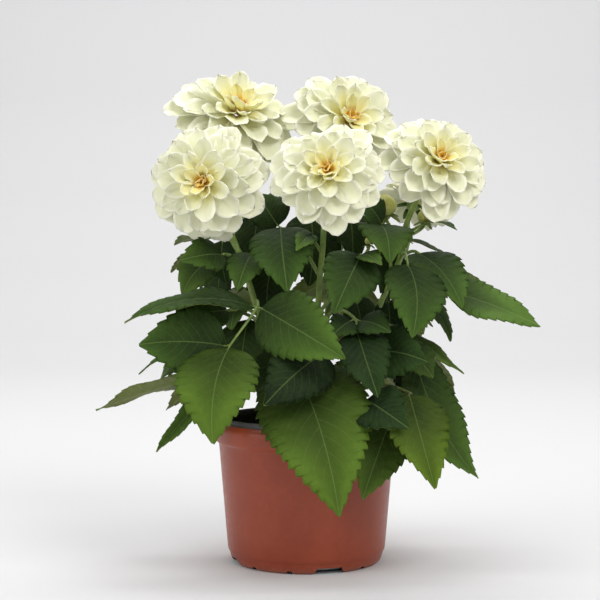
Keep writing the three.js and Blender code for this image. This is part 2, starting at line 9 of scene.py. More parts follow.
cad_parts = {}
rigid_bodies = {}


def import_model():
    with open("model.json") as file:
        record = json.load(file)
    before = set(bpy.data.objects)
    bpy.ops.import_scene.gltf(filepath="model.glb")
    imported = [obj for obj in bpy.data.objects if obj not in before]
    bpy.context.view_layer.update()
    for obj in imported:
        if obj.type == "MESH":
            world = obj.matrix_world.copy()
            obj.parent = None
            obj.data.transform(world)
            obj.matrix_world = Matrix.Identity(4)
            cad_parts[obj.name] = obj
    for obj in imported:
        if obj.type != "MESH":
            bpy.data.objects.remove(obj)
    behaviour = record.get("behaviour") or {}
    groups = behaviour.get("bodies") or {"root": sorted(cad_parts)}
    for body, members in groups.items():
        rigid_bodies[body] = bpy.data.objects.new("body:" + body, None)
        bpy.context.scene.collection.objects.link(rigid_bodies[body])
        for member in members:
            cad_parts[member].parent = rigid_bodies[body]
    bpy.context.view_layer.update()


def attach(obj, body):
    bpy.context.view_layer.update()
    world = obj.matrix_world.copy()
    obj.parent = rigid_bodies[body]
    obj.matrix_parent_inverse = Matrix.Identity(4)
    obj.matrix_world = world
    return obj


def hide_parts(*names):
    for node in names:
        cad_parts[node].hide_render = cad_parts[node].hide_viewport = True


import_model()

# Camera.
# A long lens about a metre in front of the plant, a little above its middle and tipped down
# slightly, as the plant was photographed.
SENSOR_WIDTH = 36
LENS_LENGTH = 88.6
CAMERA_PLACE = (-0.0046, -1.05, 0.226)
TIPPED_DEGREES = 2.22


def add_object(name, data):
    item = bpy.data.objects.new(name, data)
    bpy.context.scene.collection.objects.link(item)
    return item


lens = bpy.data.cameras.new("camera")
lens.sensor_width = SENSOR_WIDTH
lens.lens = LENS_LENGTH
camera = add_object("camera", lens)
camera.location = CAMERA_PLACE
camera.rotation_euler = (math.radians(90 - TIPPED_DEGREES), 0, 0)
bpy.context.scene.camera = camera


# Pot.
# A thermoformed nursery pot of two-layer plastic sheet, terracotta outside and black inside. The rim
# is folded over to a band, the lip shows the black layer, and drain notches are cut in the foot.
# Sizes are in millimetres from here to the buds, and the meshes are in metres.
MM = 0.001
POT_STEPS = 180
FLOOR_THICKNESS = 1.4
FOOT_SLOTS = 12
WIDE_SLOT_EVERY = 3
FIRST_SLOT_DEGREES = 17
SLOT_FROM, SLOT_TO = 44, 60
# Half a notch's width at the table and at its top, and its height.
WIDE_SLOT = (11, 8.6, 4.4)
NARROW_SLOT = (2.4, 1.5, 2.2)
# Radius and height up the outside and down the inside. Rows along the wall keep its shading even.
POT_OUTSIDE = [
    (42, 0), (50.3, 0), (52, 0.5), (53, 1.6), (53.7, 3.2), (54.3, 5), (54.7, 6.4), (54.8, 7),
    (55.2, 7.6), (55.8, 8.8), (56.2, 10.5), (57.6, 27), (59.1, 45), (60.7, 64), (62.1, 81),
    (62.4, 83.6), (62.9, 85),
    (64.3, 85.9), (64.9, 86.7), (65, 88), (65, 94), (64.9, 95.8), (64.4, 96.9), (63.2, 98.1),
    (61.9, 99.2), (61.45, 100), (61.4, 101), (61.35, 102.3), (61.1, 102.9), (60.7, 103),
]
POT_INSIDE = [
    (60.3, 102.8), (60.1, 102.2), (60, 99.6), (61.6, 97.6), (63.3, 95.4), (63.4, 88), (60.9, 84.4),
    (60.7, 81), (57.8, 46), (54.8, 10), (52.9, 5), (52.2, 3.2), (51.5, 1.6),
    (49.6, FLOOR_THICKNESS), (42, FLOOR_THICKNESS),
]
# The height on the lip where the black layer comes out.
BLACK_FROM = 99
CREASE_DEGREES = 50


def mask_group(name, sockets, build):
    """A shader node group, with its inputs given as (name, value) and its outputs by build."""
    group = bpy.data.node_groups.new(name, "ShaderNodeTree")
    for label, value in sockets:
        kind = "NodeSocketVector" if label == "Vector" else "NodeSocketFloat"
        socket = group.interface.new_socket(label, in_out="INPUT", socket_type=kind)
        if value is not None:
            socket.default_value = value
    entry = group.nodes.new("NodeGroupInput")
    exit_node = group.nodes.new("NodeGroupOutput")
    for label, result in build(group, entry.outputs).items():
        group.interface.new_socket(label, in_out="OUTPUT", socket_type="NodeSocketFloat")
        group.links.new(result, exit_node.inputs[label])
    return group


def feed(tree, value, socket):
    """Joins an output to a socket, or sets the socket's own value."""
    if isinstance(value, bpy.types.NodeSocket):
        tree.links.new(value, socket)
    else:
        socket.default_value = value


def calc(tree, operation, *values, clamp=False):
    step = tree.nodes.new("ShaderNodeMath")
    step.operation = operation
    step.use_clamp = clamp
    for value, socket in zip(values, step.inputs):
        feed(tree, value, socket)
    return step.outputs[0]


def times(tree, first, second):
    return calc(tree, "MULTIPLY", first, second)


def ramp(tree, value, low, high, to_low=0.0, to_high=1.0):
    step = tree.nodes.new("ShaderNodeMapRange")
    step.interpolation_type = "SMOOTHSTEP"
    for socket, amount in zip(step.inputs, (value, low, high, to_low, to_high)):
        feed(tree, amount, socket)
    return step.outputs[0]


def noise(tree, vector, scale, detail=3.0, roughness=0.5):
    step = tree.nodes.new("ShaderNodeTexNoise")
    for label, value in (("Vector", vector), ("Scale", scale), ("Detail", detail),
                         ("Roughness", roughness)):
        feed(tree, value, step.inputs[label])
    return step.outputs[0]


def blend_colours(tree, share, first, second):
    step = tree.nodes.new("ShaderNodeMix")
    step.data_type = "RGBA"
    feed(tree, share, step.inputs[0])
    feed(tree, first, step.inputs[6])
    feed(tree, second, step.inputs[7])
    return step.outputs[2]


def srgb(red, green, blue):
    """A colour given as on a screen, from 0 to 255, as the linear values that shaders take."""
    channels = [c / 255 for c in (red, green, blue)]
    linear = [c / 12.92 if c <= 0.04045 else ((c + 0.055) / 1.055) ** 2.4 for c in channels]
    return (*linear, 1)


def build_mottle(tree, given):
    wide = noise(tree, given["Vector"], given["Scale"], 4, 0.6)
    fine = noise(tree, given["Vector"], times(tree, given["Scale"], 9.0), 2)
    both = calc(tree, "ADD", times(tree, wide, 0.7), times(tree, fine, 0.3))
    return {"Mask": ramp(tree, both, 0.36, 0.64), "Fine": fine}


mottle = mask_group("mottle", [("Vector", None), ("Scale", 40)], build_mottle)


def new_material(name, **values):
    """A node material: its tree, its Principled shader and its object coordinates."""
    material = bpy.data.materials.new(name)
    material.use_nodes = True
    tree = material.node_tree
    shader = tree.nodes["Principled BSDF"]
    for label, value in values.items():
        shader.inputs[label.replace("_", " ")].default_value = value
    place = tree.nodes.new("ShaderNodeTexCoord").outputs["Object"]
    return material, tree, shader, place


def use_group(tree, group, **values):
    step = tree.nodes.new("ShaderNodeGroup")
    step.node_tree = group
    for label, value in values.items():
        feed(tree, value, step.inputs[label.replace("_", " ")])
    return step.outputs


def add_bump(tree, shader, height, strength, distance):
    bump = tree.nodes.new("ShaderNodeBump")
    bump.inputs["Strength"].default_value = strength
    bump.inputs["Distance"].default_value = distance
    tree.links.new(height, bump.inputs["Height"])
    tree.links.new(bump.outputs[0], shader.inputs["Normal"])


def place_axes(tree, place):
    step = tree.nodes.new("ShaderNodeSeparateXYZ")
    tree.links.new(place, step.inputs[0])
    return step.outputs


def write_shape(shape, mesh):
    """Puts a bmesh into a mesh, with its faces turned outwards."""
    bmesh.ops.recalc_face_normals(shape, faces=shape.faces)
    shape.to_mesh(mesh)
    shape.free()
    return mesh


def take_mesh(holder):
    """The plain mesh that an object's modifiers make. The object itself is removed."""
    bpy.context.view_layer.update()
    graph = bpy.context.evaluated_depsgraph_get()
    mesh = bpy.data.meshes.new_from_object(holder.evaluated_get(graph),
                                            preserve_all_data_layers=True, depsgraph=graph)
    bpy.data.objects.remove(holder)
    return mesh


def mesh_piece(name, mesh, slot, *nodes):
    """A finished mesh becomes a piece of the plant's one body, in place of its plain solids."""
    piece = add_object(name, mesh)
    for polygon in mesh.polygons:
        polygon.use_smooth = True
    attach(piece, "root")
    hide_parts(*nodes)
    return piece


terracotta, tree, shader, place = new_material("terracotta_sheet", Roughness=0.36)
shader.inputs["Specular IOR Level"].default_value = 0.42
patches = use_group(tree, mottle, Vector=place, Scale=28)
height_up = place_axes(tree, place)[2]
clay = blend_colours(tree, patches["Mask"], srgb(142, 58, 32), srgb(152, 66, 38))
scuffed = times(tree, ramp(tree, height_up, 0.006, 0.0, 0.0, 0.3), patches["Fine"])
tree.links.new(blend_colours(tree, scuffed, clay, srgb(196, 150, 128)), shader.inputs["Base Color"])
feed(tree, ramp(tree, patches["Fine"], 0.3, 0.7, 0.32, 0.42), shader.inputs["Roughness"])
add_bump(tree, shader, patches["Fine"], 0.12, 0.0004)

black_sheet, tree, shader, place = new_material("black_sheet", Roughness=0.4)
patches = use_group(tree, mottle, Vector=place, Scale=60)
shade = blend_colours(tree, patches["Mask"], srgb(34, 36, 34), srgb(56, 58, 54))
tree.links.new(shade, shader.inputs["Base Color"])
feed(tree, ramp(tree, patches["Fine"], 0.3, 0.7, 0.34, 0.5), shader.inputs["Roughness"])
add_bump(tree, shader, patches["Fine"], 0.15, 0.0003)

shape = bmesh.new()
profile = POT_OUTSIDE + POT_INSIDE
rings = []
for step in range(POT_STEPS):
    angle = 2 * math.pi * step / POT_STEPS
    out = Vector((math.cos(angle), math.sin(angle), 0))
    rings.append([shape.verts.new((out * r + Vector((0, 0, z))) * MM) for r, z in profile])
under = shape.verts.new((0, 0, 0))
floor_of_pot = shape.verts.new((0, 0, FLOOR_THICKNESS * MM))
for ring, following in zip(rings, rings[1:] + rings[:1]):
    for row in range(len(profile) - 1):
        face = shape.faces.new((ring[row], following[row], following[row + 1], ring[row + 1]))
        high = min(profile[row][1], profile[row + 1][1])
        face.material_index = int(row >= len(POT_OUTSIDE) - 1 or high >= BLACK_FROM)
    shape.faces.new((under, following[0], ring[0]))
    shape.faces.new((floor_of_pot, ring[-1], following[-1])).material_index = 1
shell_mesh = write_shape(shape, bpy.data.meshes.new("pot_shell"))
shell_mesh.materials.append(terracotta)
shell_mesh.materials.append(black_sheet)

shape = bmesh.new()
for index in range(FOOT_SLOTS):
    foot, top, height = WIDE_SLOT if index % WIDE_SLOT_EVERY == 0 else NARROW_SLOT
    angle = math.radians(FIRST_SLOT_DEGREES) + 2 * math.pi * index / FOOT_SLOTS
    turn = Matrix.Rotation(angle, 3, "Z")
    corners = ((-foot, -1), (foot, -1), (foot, 0), (top, height), (-top, height), (-foot, 0))
    near, far = [[shape.verts.new(turn @ Vector((x, -radius, z)) * MM) for x, z in corners]
                 for radius in (SLOT_FROM, SLOT_TO)]
    shape.faces.new(near)
    shape.faces.new(far)
    for k in range(len(corners)):
        shape.faces.new((near[k - 1], near[k], far[k], far[k - 1]))
for face in shape.faces:
    face.material_index = 1

pot_shell = add_object("pot_shell", shell_mesh)
drain_notches = add_object("drain_notches", write_shape(shape, bpy.data.meshes.new("drain_notches")))
notching = pot_shell.modifiers.new("notches", "BOOLEAN")
notching.operation = "DIFFERENCE"
notching.solver = "EXACT"
notching.object = drain_notches
pot_mesh = take_mesh(pot_shell)
pot_mesh.set_sharp_from_angle(angle=math.radians(CREASE_DEGREES))
bpy.data.objects.remove(drain_notches)
mesh_piece("nursery_pot", pot_mesh, "pot", "pot")


# Soil.
# Peat and bark potting mix, filled to just under the lip and watered in. Its top is a loose crumb
# with a few pale fibres, and the stems come up through it.
SOIL_TOP = 91
SOIL_SIDE = [(45.5, 1.7), (47, 5), (53.5, 9.5), (60.3, 84.4), (60.4, 90.6)]
SOIL_STEPS = 96
SURFACE_ROWS = 12
SURFACE_HEIGHT = 90.8
UNEVENNESS = 1.6
CRUMBS = 1500
CRUMB_RADIUS = 1.7
CRUMB_LEVEL = 91.3
CRUMBS_REACH = 60.2

peat, tree, shader, place = new_material("damp_peat", Roughness=0.9)
grain = use_group(tree, mottle, Vector=place, Scale=160)
dark_peat = blend_colours(tree, grain["Mask"], srgb(28, 20, 16), srgb(66, 48, 36))
flecks = calc(tree, "GREATER_THAN", grain["Fine"], 0.66)
tree.links.new(blend_colours(tree, flecks, dark_peat, srgb(118, 92, 66)), shader.inputs["Base Color"])
add_bump(tree, shader, grain["Fine"], 0.8, 0.0008)


def grow(label, build, inputs):
    """Runs a geometry node tree on an empty mesh and returns the plain mesh that it makes."""
    growth = bpy.data.node_groups.new(label, "GeometryNodeTree")
    growth.interface.new_socket("Geometry", in_out="OUTPUT", socket_type="NodeSocketGeometry")
    kinds = {int: "NodeSocketInt", float: "NodeSocketFloat", bpy.types.Material: "NodeSocketMaterial",
             bpy.types.Collection: "NodeSocketCollection"}
    for name, value in inputs.items():
        growth.interface.new_socket(name, in_out="INPUT", socket_type=kinds[type(value)])
    entry = growth.nodes.new("NodeGroupInput")
    leave = growth.nodes.new("NodeGroupOutput")
    made = build(growth, entry.outputs)
    realize = growth.nodes.new("GeometryNodeRealizeInstances")
    growth.links.new(made, realize.inputs[0])
    paint = growth.nodes.new("GeometryNodeSetMaterial")
    growth.links.new(realize.outputs[0], paint.inputs["Geometry"])
    growth.links.new(entry.outputs["Material"], paint.inputs["Material"])
    growth.links.new(paint.outputs[0], leave.inputs[0])
    holder = add_object(label, bpy.data.meshes.new(label))
    modifier = holder.modifiers.new(label, "NODES")
    modifier.node_group = growth
    for item in growth.interface.items_tree:
        if item.item_type == "SOCKET" and item.in_out == "INPUT":
            modifier[item.identifier] = inputs[item.name]
    return take_mesh(holder)


def geo(tree, kind, **values):
    """A geometry node with its sockets fed by name, and its settings where they aren't sockets."""
    step = tree.nodes.new(kind)
    for label, value in values.items():
        if hasattr(step, label):
            setattr(step, label, value)
    for label, value in values.items():
        if not hasattr(step, label):
            feed(tree, value, step.inputs[label.replace("_", " ")])
    return step


def vector_of(tree, x, y, z):
    step = tree.nodes.new("ShaderNodeCombineXYZ")
    for value, socket in zip((x, y, z), step.inputs):
        feed(tree, value, socket)
    return step.outputs[0]


def soil_growth(tree, given):
    disc = geo(tree, "GeometryNodeMeshCircle", fill_type="NGON", Vertices=48,
               Radius=times(tree, given["Radius"], 0.985))
    raised = geo(tree, "GeometryNodeTransform", Geometry=disc.outputs[0],
                 Translation=vector_of(tree, 0.0, 0.0, given["Level"]))
    area = times(tree, calc(tree, "POWER", given["Radius"], 2.0), math.pi)
    points = geo(tree, "GeometryNodeDistributePointsOnFaces", Mesh=raised.outputs[0],
                 Density=calc(tree, "DIVIDE", given["Crumbs"], area), Seed=given["Seed"])
    crumb = geo(tree, "GeometryNodeMeshIcoSphere", Radius=given["Crumb"], Subdivisions=1)
    size = geo(tree, "FunctionNodeRandomValue", data_type="FLOAT_VECTOR")
    size.inputs[0].default_value = (0.5, 0.4, 0.3)
    size.inputs[1].default_value = (1.9, 1.1, 0.9)
    turn = geo(tree, "FunctionNodeRandomValue", data_type="FLOAT_VECTOR")
    turn.inputs[0].default_value = (-0.5, -0.5, -3.1)
    turn.inputs[1].default_value = (0.5, 0.5, 3.1)
    turn.inputs["Seed"].default_value = 5
    spread = geo(tree, "GeometryNodeInstanceOnPoints", Points=points.outputs[0],
                 Instance=crumb.outputs[0], Rotation=turn.outputs[0], Scale=size.outputs[0])
    return spread.outputs[0]


crumb_mesh = grow("soil_crumbs", soil_growth, {
    "Radius": CRUMBS_REACH * MM, "Level": CRUMB_LEVEL * MM, "Crumbs": float(CRUMBS),
    "Crumb": CRUMB_RADIUS * MM, "Seed": 3, "Material": peat})
chance = random.Random(11)
shape = bmesh.new()
shape.from_mesh(crumb_mesh)
soil_edge, foot_height = SOIL_SIDE[-1][0], SOIL_SIDE[0][1]
surface = [(soil_edge * k / SURFACE_ROWS, SURFACE_HEIGHT) for k in range(SURFACE_ROWS - 1, 0, -1)]
soil_rings = []
for radius, height in SOIL_SIDE + surface:
    ring = []
    for step in range(SOIL_STEPS):
        angle = 2 * math.pi * step / SOIL_STEPS
        lift = (chance.random() - 0.5) * UNEVENNESS if height == SURFACE_HEIGHT else 0
        ring.append(shape.verts.new((radius * MM * math.cos(angle), radius * MM * math.sin(angle),
                                     (height + lift) * MM)))
    soil_rings.append(ring)
bottom = shape.verts.new((0, 0, foot_height * MM))
top = shape.verts.new((0, 0, SOIL_TOP * MM))
for step in range(SOIL_STEPS):
    after = (step + 1) % SOIL_STEPS
    for low, high in zip(soil_rings, soil_rings[1:]):
        shape.faces.new((low[step], low[after], high[after], high[step]))
    shape.faces.new((bottom, soil_rings[0][after], soil_rings[0][step]))
    shape.faces.new((top, soil_rings[-1][step], soil_rings[-1][after]))
mesh_piece("potting_soil", write_shape(shape, crumb_mesh), "soil", "soil")


# Leafy stems.
# Dahlia stems, round and green, a little red low down. Each carries compound leaves on slim
# stalks. The leaflets are toothed, dark green with paler sunk veins, and pale below. Shade on
# the leaflets is painted into their green, darkest at their bases.
STEM_RADIUS = 2.25
STALK_RADIUS = 1.15
STALKLET_RADIUS = 0.8
BUD_STEM_RADIUS = 1.4
LEAF_THICKNESS = 0.45
LEAF_COLUMNS = [-1, -0.84, -0.62, -0.4, -0.2, -0.06, 0.06, 0.2, 0.4, 0.62, 0.84, 1]
LEAF_PEAK = 0.34
TOOTH_PITCH = 6.2
# One tooth along a leaflet's edge: how far through its pitch, how far out and how far forward.
TOOTH = [(0, -0.045, 0), (0.3, -0.01, 0.05), (0.6, 0.03, 0.15), (0.86, 0.045, 0.25)]
TEETH_START = 0.05
VEINS = 9.5
VEIN_SWEEP = 0.32
VEIN_BEND = 1.15
FOLD = 0.1
WAVE_HEIGHT = 0.018
QUILT_DEPTH = 0.013
MIDRIB_DEPTH = 0.5
MIDRIB_WIDTH = 1.6
# The half-widths that a leaflet's attribute holds are shares of this.
WIDTH_UNIT = 50.0
STEM_SIDES, BUD_STEM_SIDES, STALK_SIDES, STALKLET_SIDES = 12, 10, 8, 6
CALYX_PROFILE = [(4.2, -0.1), (5.4, -0.7), (5.2, -1.8), (4.0, -3.4), (2.9, -4.6), (2.2, -5.4)]
CALYX_SIDES = 16
BRACTS = 5
HOLE_DEPTH = 24
CORE_BOTTOM = 1.5
GAP = 0.3
UP = Vector((0, 0, 1))
# The places of the two materials on a stem's mesh. A petal's only material has the first.
LEAF, STEM = 0, 1


# A leaflet's tone sets how light its top is. Besides the leaflet's own tone, it paints in the shade
# that falls on it or the sheen that it catches.
def blade(base, tip, width, lean, arch=0.12, tone=None, warm=0.3):
    return {"base": Vector(base), "tip": Vector(tip), "width": width, "lean": lean, "arch": arch,
            "tone": tone, "warm": warm}


def leaf(path, *blades):
    return {"path": [Vector(point) for point in path], "blades": blades}


def spread_leaf(start, azimuth, fall, size=58, reach=34):
    """A three-part leaf placed by rule: azimuth runs in degrees from the back to the right."""
    heading, slope = math.radians(azimuth), math.radians(fall)

    def out(origin, distance, turn, drop):
        return Vector((origin[0] + distance * math.sin(heading + turn),
                       origin[1] + distance * math.cos(heading + turn), origin[2] - drop))

    def hang(origin, length, turn, angle):
        return out(origin, length * math.cos(angle), turn, length * math.sin(angle))

    fork, end = out(start, reach * 0.6, 0, -9), out(start, reach, 0, -7)
    sides = [blade(fork, hang(fork, size * 0.7, hand * 1.25, slope * 0.8), size * 0.5, 0.4, 0.1)
             for hand in (1, -1)]
    return leaf([start, fork, end], blade(end, hang(end, size, 0, slope), size * 0.72, 0.4), *sides)


STEMS = {
    "front_left": {
        "root": (-17, -10),
        "stem": [(-20, -12, 118), (-27, -17, 150), (-36, -22, 185), (-46, -25, 216), (-53, -22, 234)],
        "bloom": ((-69, -37, 267), (-0.2, -0.97, 0.02), 42),
        "leaves": [
            leaf([(-33, -20, 172), (-34, -38, 186), (-34, -52, 182), (-51, -69, 158)],
                 blade((-52, -71, 156), (-61, -98, 96), 55, 0.6, 0.12, 0.75, 0.6),
                 blade((-54, -64, 157), (-112, -66, 158), 48, 0.8, 0.06, 0.3, 0.2),
                 blade((-36, -52, 183), (-122, -62, 172), 28, 0.32, 0.15, 0.3, 0.2),
                 blade((-31, -53, 182), (25, -84, 150), 46, 0.85, 0.08, 0.5, 0.3)),
            leaf([(-34, -21, 176), (-46, -34, 182), (-54, -43, 180)],
                 blade((-54, -43, 180), (-89, -60, 175), 28, 0.7, 0.1, 0.5, 0.4)),
            leaf([(-45, -24, 212), (-56, -24, 218), (-67, -26, 214)],
                 blade((-67, -26, 214), (-86, -28, 190), 30, 0.8, 0.12, 0.45, 0.4),
                 blade((-58, -29, 218), (-86, -46, 214), 30, 0.7, 0.12, 0.3)),
            leaf([(-42, -24, 205), (-38, -30, 219)],
                 blade((-38, -30, 219), (-47, -50, 194), 28, 0.6, 0.12, 0.35)),
            leaf([(-49, -24, 222), (-55, -16, 230), (-59, -12, 228)],
                 blade((-59, -12, 228), (-56, -20, 198), 28, 0.75, 0.06, 0.1, 0)),
            leaf([(-31, -19, 162), (-37, -13, 173), (-41, -8, 172)],
                 blade((-41, -8, 172), (-45, -18, 127), 40, 0.75, 0.1, 0.2)),
            leaf([(-22, -13, 128), (-46, -22, 141), (-62, -27, 139), (-76, -30, 133)],
                 blade((-76, -30, 132), (-146, -30, 110), 50, -0.45, 0.03, 0.6, 0.5),
                 blade((-64, -18, 132), (-99, -12, 108), 34, -0.3, 0.06, 0.6, 0.5),
                 blade((-56, -33, 134), (-101, -60, 85), 24, 0.2, 0, 0.5, 0.3)),
        ],
    },
    "front": {
        "root": (2, -14),
        "stem": [(3, -17, 118), (6, -23, 150), (9, -30, 200), (11, -33, 222), (12, -32, 240)],
        "bloom": ((14, -50, 272), (-0.06, -0.93, 0.36), 40),
        "leaves": [
            leaf([(9, -30, 203), (-5, -28, 226), (-17, -29, 236)],
                 blade((-18, -29, 237), (-13, -58, 193), 44, 0.6, 0.12, 0.3, 0.2),
                 blade((-20, -26, 238), (-34, -12, 260), 30, 0.5, 0.1, 0.15)),
            leaf([(5, -20, 132), (-1, -36, 145), (-9, -44, 143)],
                 blade((-9, -44, 143), (21, -98, 49), 74, 0.75, 0.09, 0.55, 0.6)),
            leaf([(6, -23, 150), (11, -42, 159), (12, -54, 152)],
                 blade((12, -54, 152), (-28, -92, 120), 44, 0.8, 0.06, 0, 0.2)),
            leaf([(7, -26, 168), (22, -38, 180), (33, -45, 174), (34, -52, 166)],
                 blade((34, -52, 166), (47, -76, 124), 36, 0.75, 0.12, 0.12, 0),
                 blade((36, -47, 173), (56, -62, 166), 24, 0.6, 0.12, 0.2, 0.1),
                 blade((30, -47, 173), (17, -64, 164), 22, 0.6, 0.12, 0.25, 0.1)),
            leaf([(11, -33, 218), (2, -32, 232)],
                 blade((3, -36, 232), (-7, -54, 221), 15, 0.6, 0.12, 0.6)),
            leaf([(4, -18, 124), (-4, -25, 150), (-12, -28, 154)],
                 blade((-12, -28, 154), (-28, -31, 104), 42, 0.8, 0.04, 0.05)),
        ],
        "buds": [
            {"stem": [(7, -27, 175), (24, -34, 198), (36, -38, 213), (42, -36, 221)],
             "place": (43, -35, 225), "facing": (0.1, 0, 1), "radius": 3.5,
             "leaves": [leaf([(34, -37, 210), (37, -42, 218)],
                             blade((37, -42, 218), (18, -68, 179), 40, 0.7, 0.12, 0.28, 0.2),
                             blade((37, -42, 218), (50, -62, 211), 16, 0.6, 0.12, 0.4))]},
        ],
    },
    "right": {
        "root": (20, -6),
        "stem": [(24, -7, 118), (37, -9, 148), (54, -12, 188), (67, -12, 219), (70, -8, 238)],
        "bloom": ((90, -25, 280), (0.25, -0.85, 0.46), 40),
        "leaves": [
            leaf([(64, -12, 212), (68, -27, 219), (69, -42, 211)],
                 blade((69, -42, 211), (70, -68, 163), 44, 0.7, 0.12, 0.4, 0.2)),
            leaf([(66, -12, 216), (76, -16, 220), (98, -28, 193)],
                 blade((98, -28, 193), (160, -40, 169), 38, 0.6, 0, 0.95, 0.3),
                 blade((77, -17, 219), (106, -46, 182), 44, 0.6, 0.12, 0.4, 0.2)),
            leaf([(69, -9, 232), (82, -12, 239)],
                 blade((82, -12, 239), (104, -26, 235), 18, 0, 0.12, 0.3)),
            leaf([(68, -11, 224), (58, -19, 236), (52, -22, 239)],
                 blade((52, -25, 239), (36, -33, 257), 26, 0.6, 0.12, 0.2),
                 blade((50, -23, 239), (56, -53, 212), 40, 0.7, 0.2, 0.35)),
            leaf([(60, -12, 202), (58, -6, 220), (57, -3, 222)],
                 blade((57, -3, 222), (56, -12, 184), 32, 0.7, 0.06, 0.05)),
            leaf([(30, -8, 132), (52, -12, 150), (68, -15, 151)],
                 blade((68, -15, 151), (79, -20, 102), 36, 0.8, 0.04, 0.05)),
            leaf([(44, -10, 164), (58, -13, 168), (71, -16, 163)],
                 blade((71, -16, 163), (110, -18, 134), 21, 0.3, 0.02, 0.6, 0.6)),
            leaf([(38, -9, 150), (54, -24, 158), (68, -30, 155), (80, -32, 148)],
                 blade((75, -31, 147), (117, -46, 65), 43, 0.85, -0.06, 0.45, 0.3),
                 blade((68, -33, 153), (86, -44, 134), 27, 0.8, 0.12, 0.25)),
            leaf([(46, -10, 170), (53, -5, 184), (58, -4, 186)],
                 blade((58, -4, 186), (60, -13, 148), 30, 0.75, 0.06, 0.05, 0)),
            leaf([(28, -8, 128), (38, -30, 150), (46, -45, 152)],
                 blade((46, -45, 152), (81, -58, 146), 38, 0.85, 0.1, 0.2, 0)),
            leaf([(24, -7, 112), (46, -34, 128), (60, -48, 128), (71, -55, 124)],
                 blade((69, -57, 124), (84, -88, 65), 43, 0.8, 0.12, 0.42, 0.95),
                 blade((60, -47, 113), (37, -72, 55), 40, 0.8, 0.14, 0.4, 0.5)),
            leaf([(23, -7, 108), (34, -40, 122), (39, -62, 123)],
                 blade((40, -62, 121), (66, -88, 105), 36, 0.8, 0.1, 0.1, 0)),
        ],
        "buds": [
            {"stem": [(68, -11, 224), (60, -6, 236), (56, -8, 243)], "place": (56, -10, 247),
             "facing": (-0.1, -0.3, 1), "radius": 8, "leaves": []},
            {"stem": [(70, -9, 230), (80, -2, 235), (83, -4, 238)], "place": (83, -6, 241),
             "facing": (0.1, -0.4, 1), "radius": 5.5, "leaves": []},
        ],
    },
    "back_left": {
        "root": (-16, 12),
        "stem": [(-18, 12, 118), (-26, 12, 150), (-34, 10, 190), (-40, 9, 225), (-53, 26, 272)],
        "bloom": ((-53, 45, 317), (0.28, -0.66, 0.69), 49),
        "leaves": [
            leaf([(-26, 12, 150), (-54, 4, 158), (-80, -6, 149)],
                 blade((-80, -6, 149), (-118, -15, 134), 12, 0.2, 0.1, 0.4),
                 blade((-80, -3, 148), (-105, 8, 128), 24, 0.6, 0.12, 0.4)),
            leaf([(-39, 9, 220), (-58, 25, 232), (-76, 38, 228)],
                 blade((-76, 38, 228), (-98, 50, 224), 24, 0.4, 0.12, 0.4)),
            leaf([(-37, 9, 206), (-47, 5, 218), (-56, 4, 216)],
                 blade((-56, 4, 216), (-61, -6, 180), 34, 0.7, 0.1, 0.1)),
            leaf([(-37, 9, 206), (-30, 7, 218), (-22, 6, 216)],
                 blade((-22, 6, 216), (-27, -2, 174), 36, 0.7, 0.08, 0.05)),
            leaf([(-41, 10, 230), (-37, 6, 246), (-34, 4, 247)],
                 blade((-34, 4, 247), (-37, -5, 210), 34, 0.7, 0.08, 0.05)),
            spread_leaf((-19, 12, 124), -62, 40),
            spread_leaf((-30, 11, 168), -104, 24, 48),
            spread_leaf((-33, 10, 184), -38, 36),
            spread_leaf((-38, 9, 211), -58, 20, 42),
        ],
    },
    "back": {
        "root": (4, 14),
        "stem": [(5, 16, 118), (12, 22, 150), (19, 28, 205), (24, 38, 250), (26, 58, 282)],
        "bloom": ((29, 52, 314), (0.34, -0.84, 0.42), 46),
        "leaves": [
            leaf([(21, 31, 222), (12, 18, 246), (3, 10, 247)],
                 blade((3, 10, 247), (2, 2, 195), 42, 0.7, 0.08, 0.05)),
            leaf([(23, 36, 242), (28, 20, 254), (31, 7, 250)],
                 blade((31, 7, 250), (33, -2, 212), 32, 0.7, 0.08, 0.05)),
            leaf([(16, 25, 178), (26, 16, 192), (33, 9, 190)],
                 blade((33, 9, 190), (37, 1, 154), 34, 0.7, 0.08, 0.05)),
            spread_leaf((6, 17, 124), -18, 42, 60),
            spread_leaf((13, 23, 156), -24, 38),
            spread_leaf((17, 27, 188), 6, 32),
            spread_leaf((20, 30, 216), -36, 22, 48),
        ],
    },
    "back_right": {
        "root": (20, 12),
        "stem": [(23, 14, 118), (40, 29, 150), (60, 46, 190), (76, 60, 225)],
        "bloom": ((82, 75, 256), (0.3, 0.5, 0.8), 29),
        "leaves": [
            leaf([(64, 49, 198), (72, 28, 222), (72, 8, 228)],
                 blade((72, 8, 228), (119, 6, 199), 26, 0.2, 0.1, 0.35)),
            leaf([(56, 43, 182), (66, 24, 194), (78, 6, 190)],
                 blade((78, 6, 190), (101, -17, 157), 25, 0.6, 0.1, 0.3)),
            spread_leaf((29, 18, 126), 36, 42),
            spread_leaf((36, 25, 142), 78, 40, 54),
            spread_leaf((52, 39, 172), 28, 34, 54),
            spread_leaf((63, 48, 196), 84, 28, 46),
        ],
    },
}


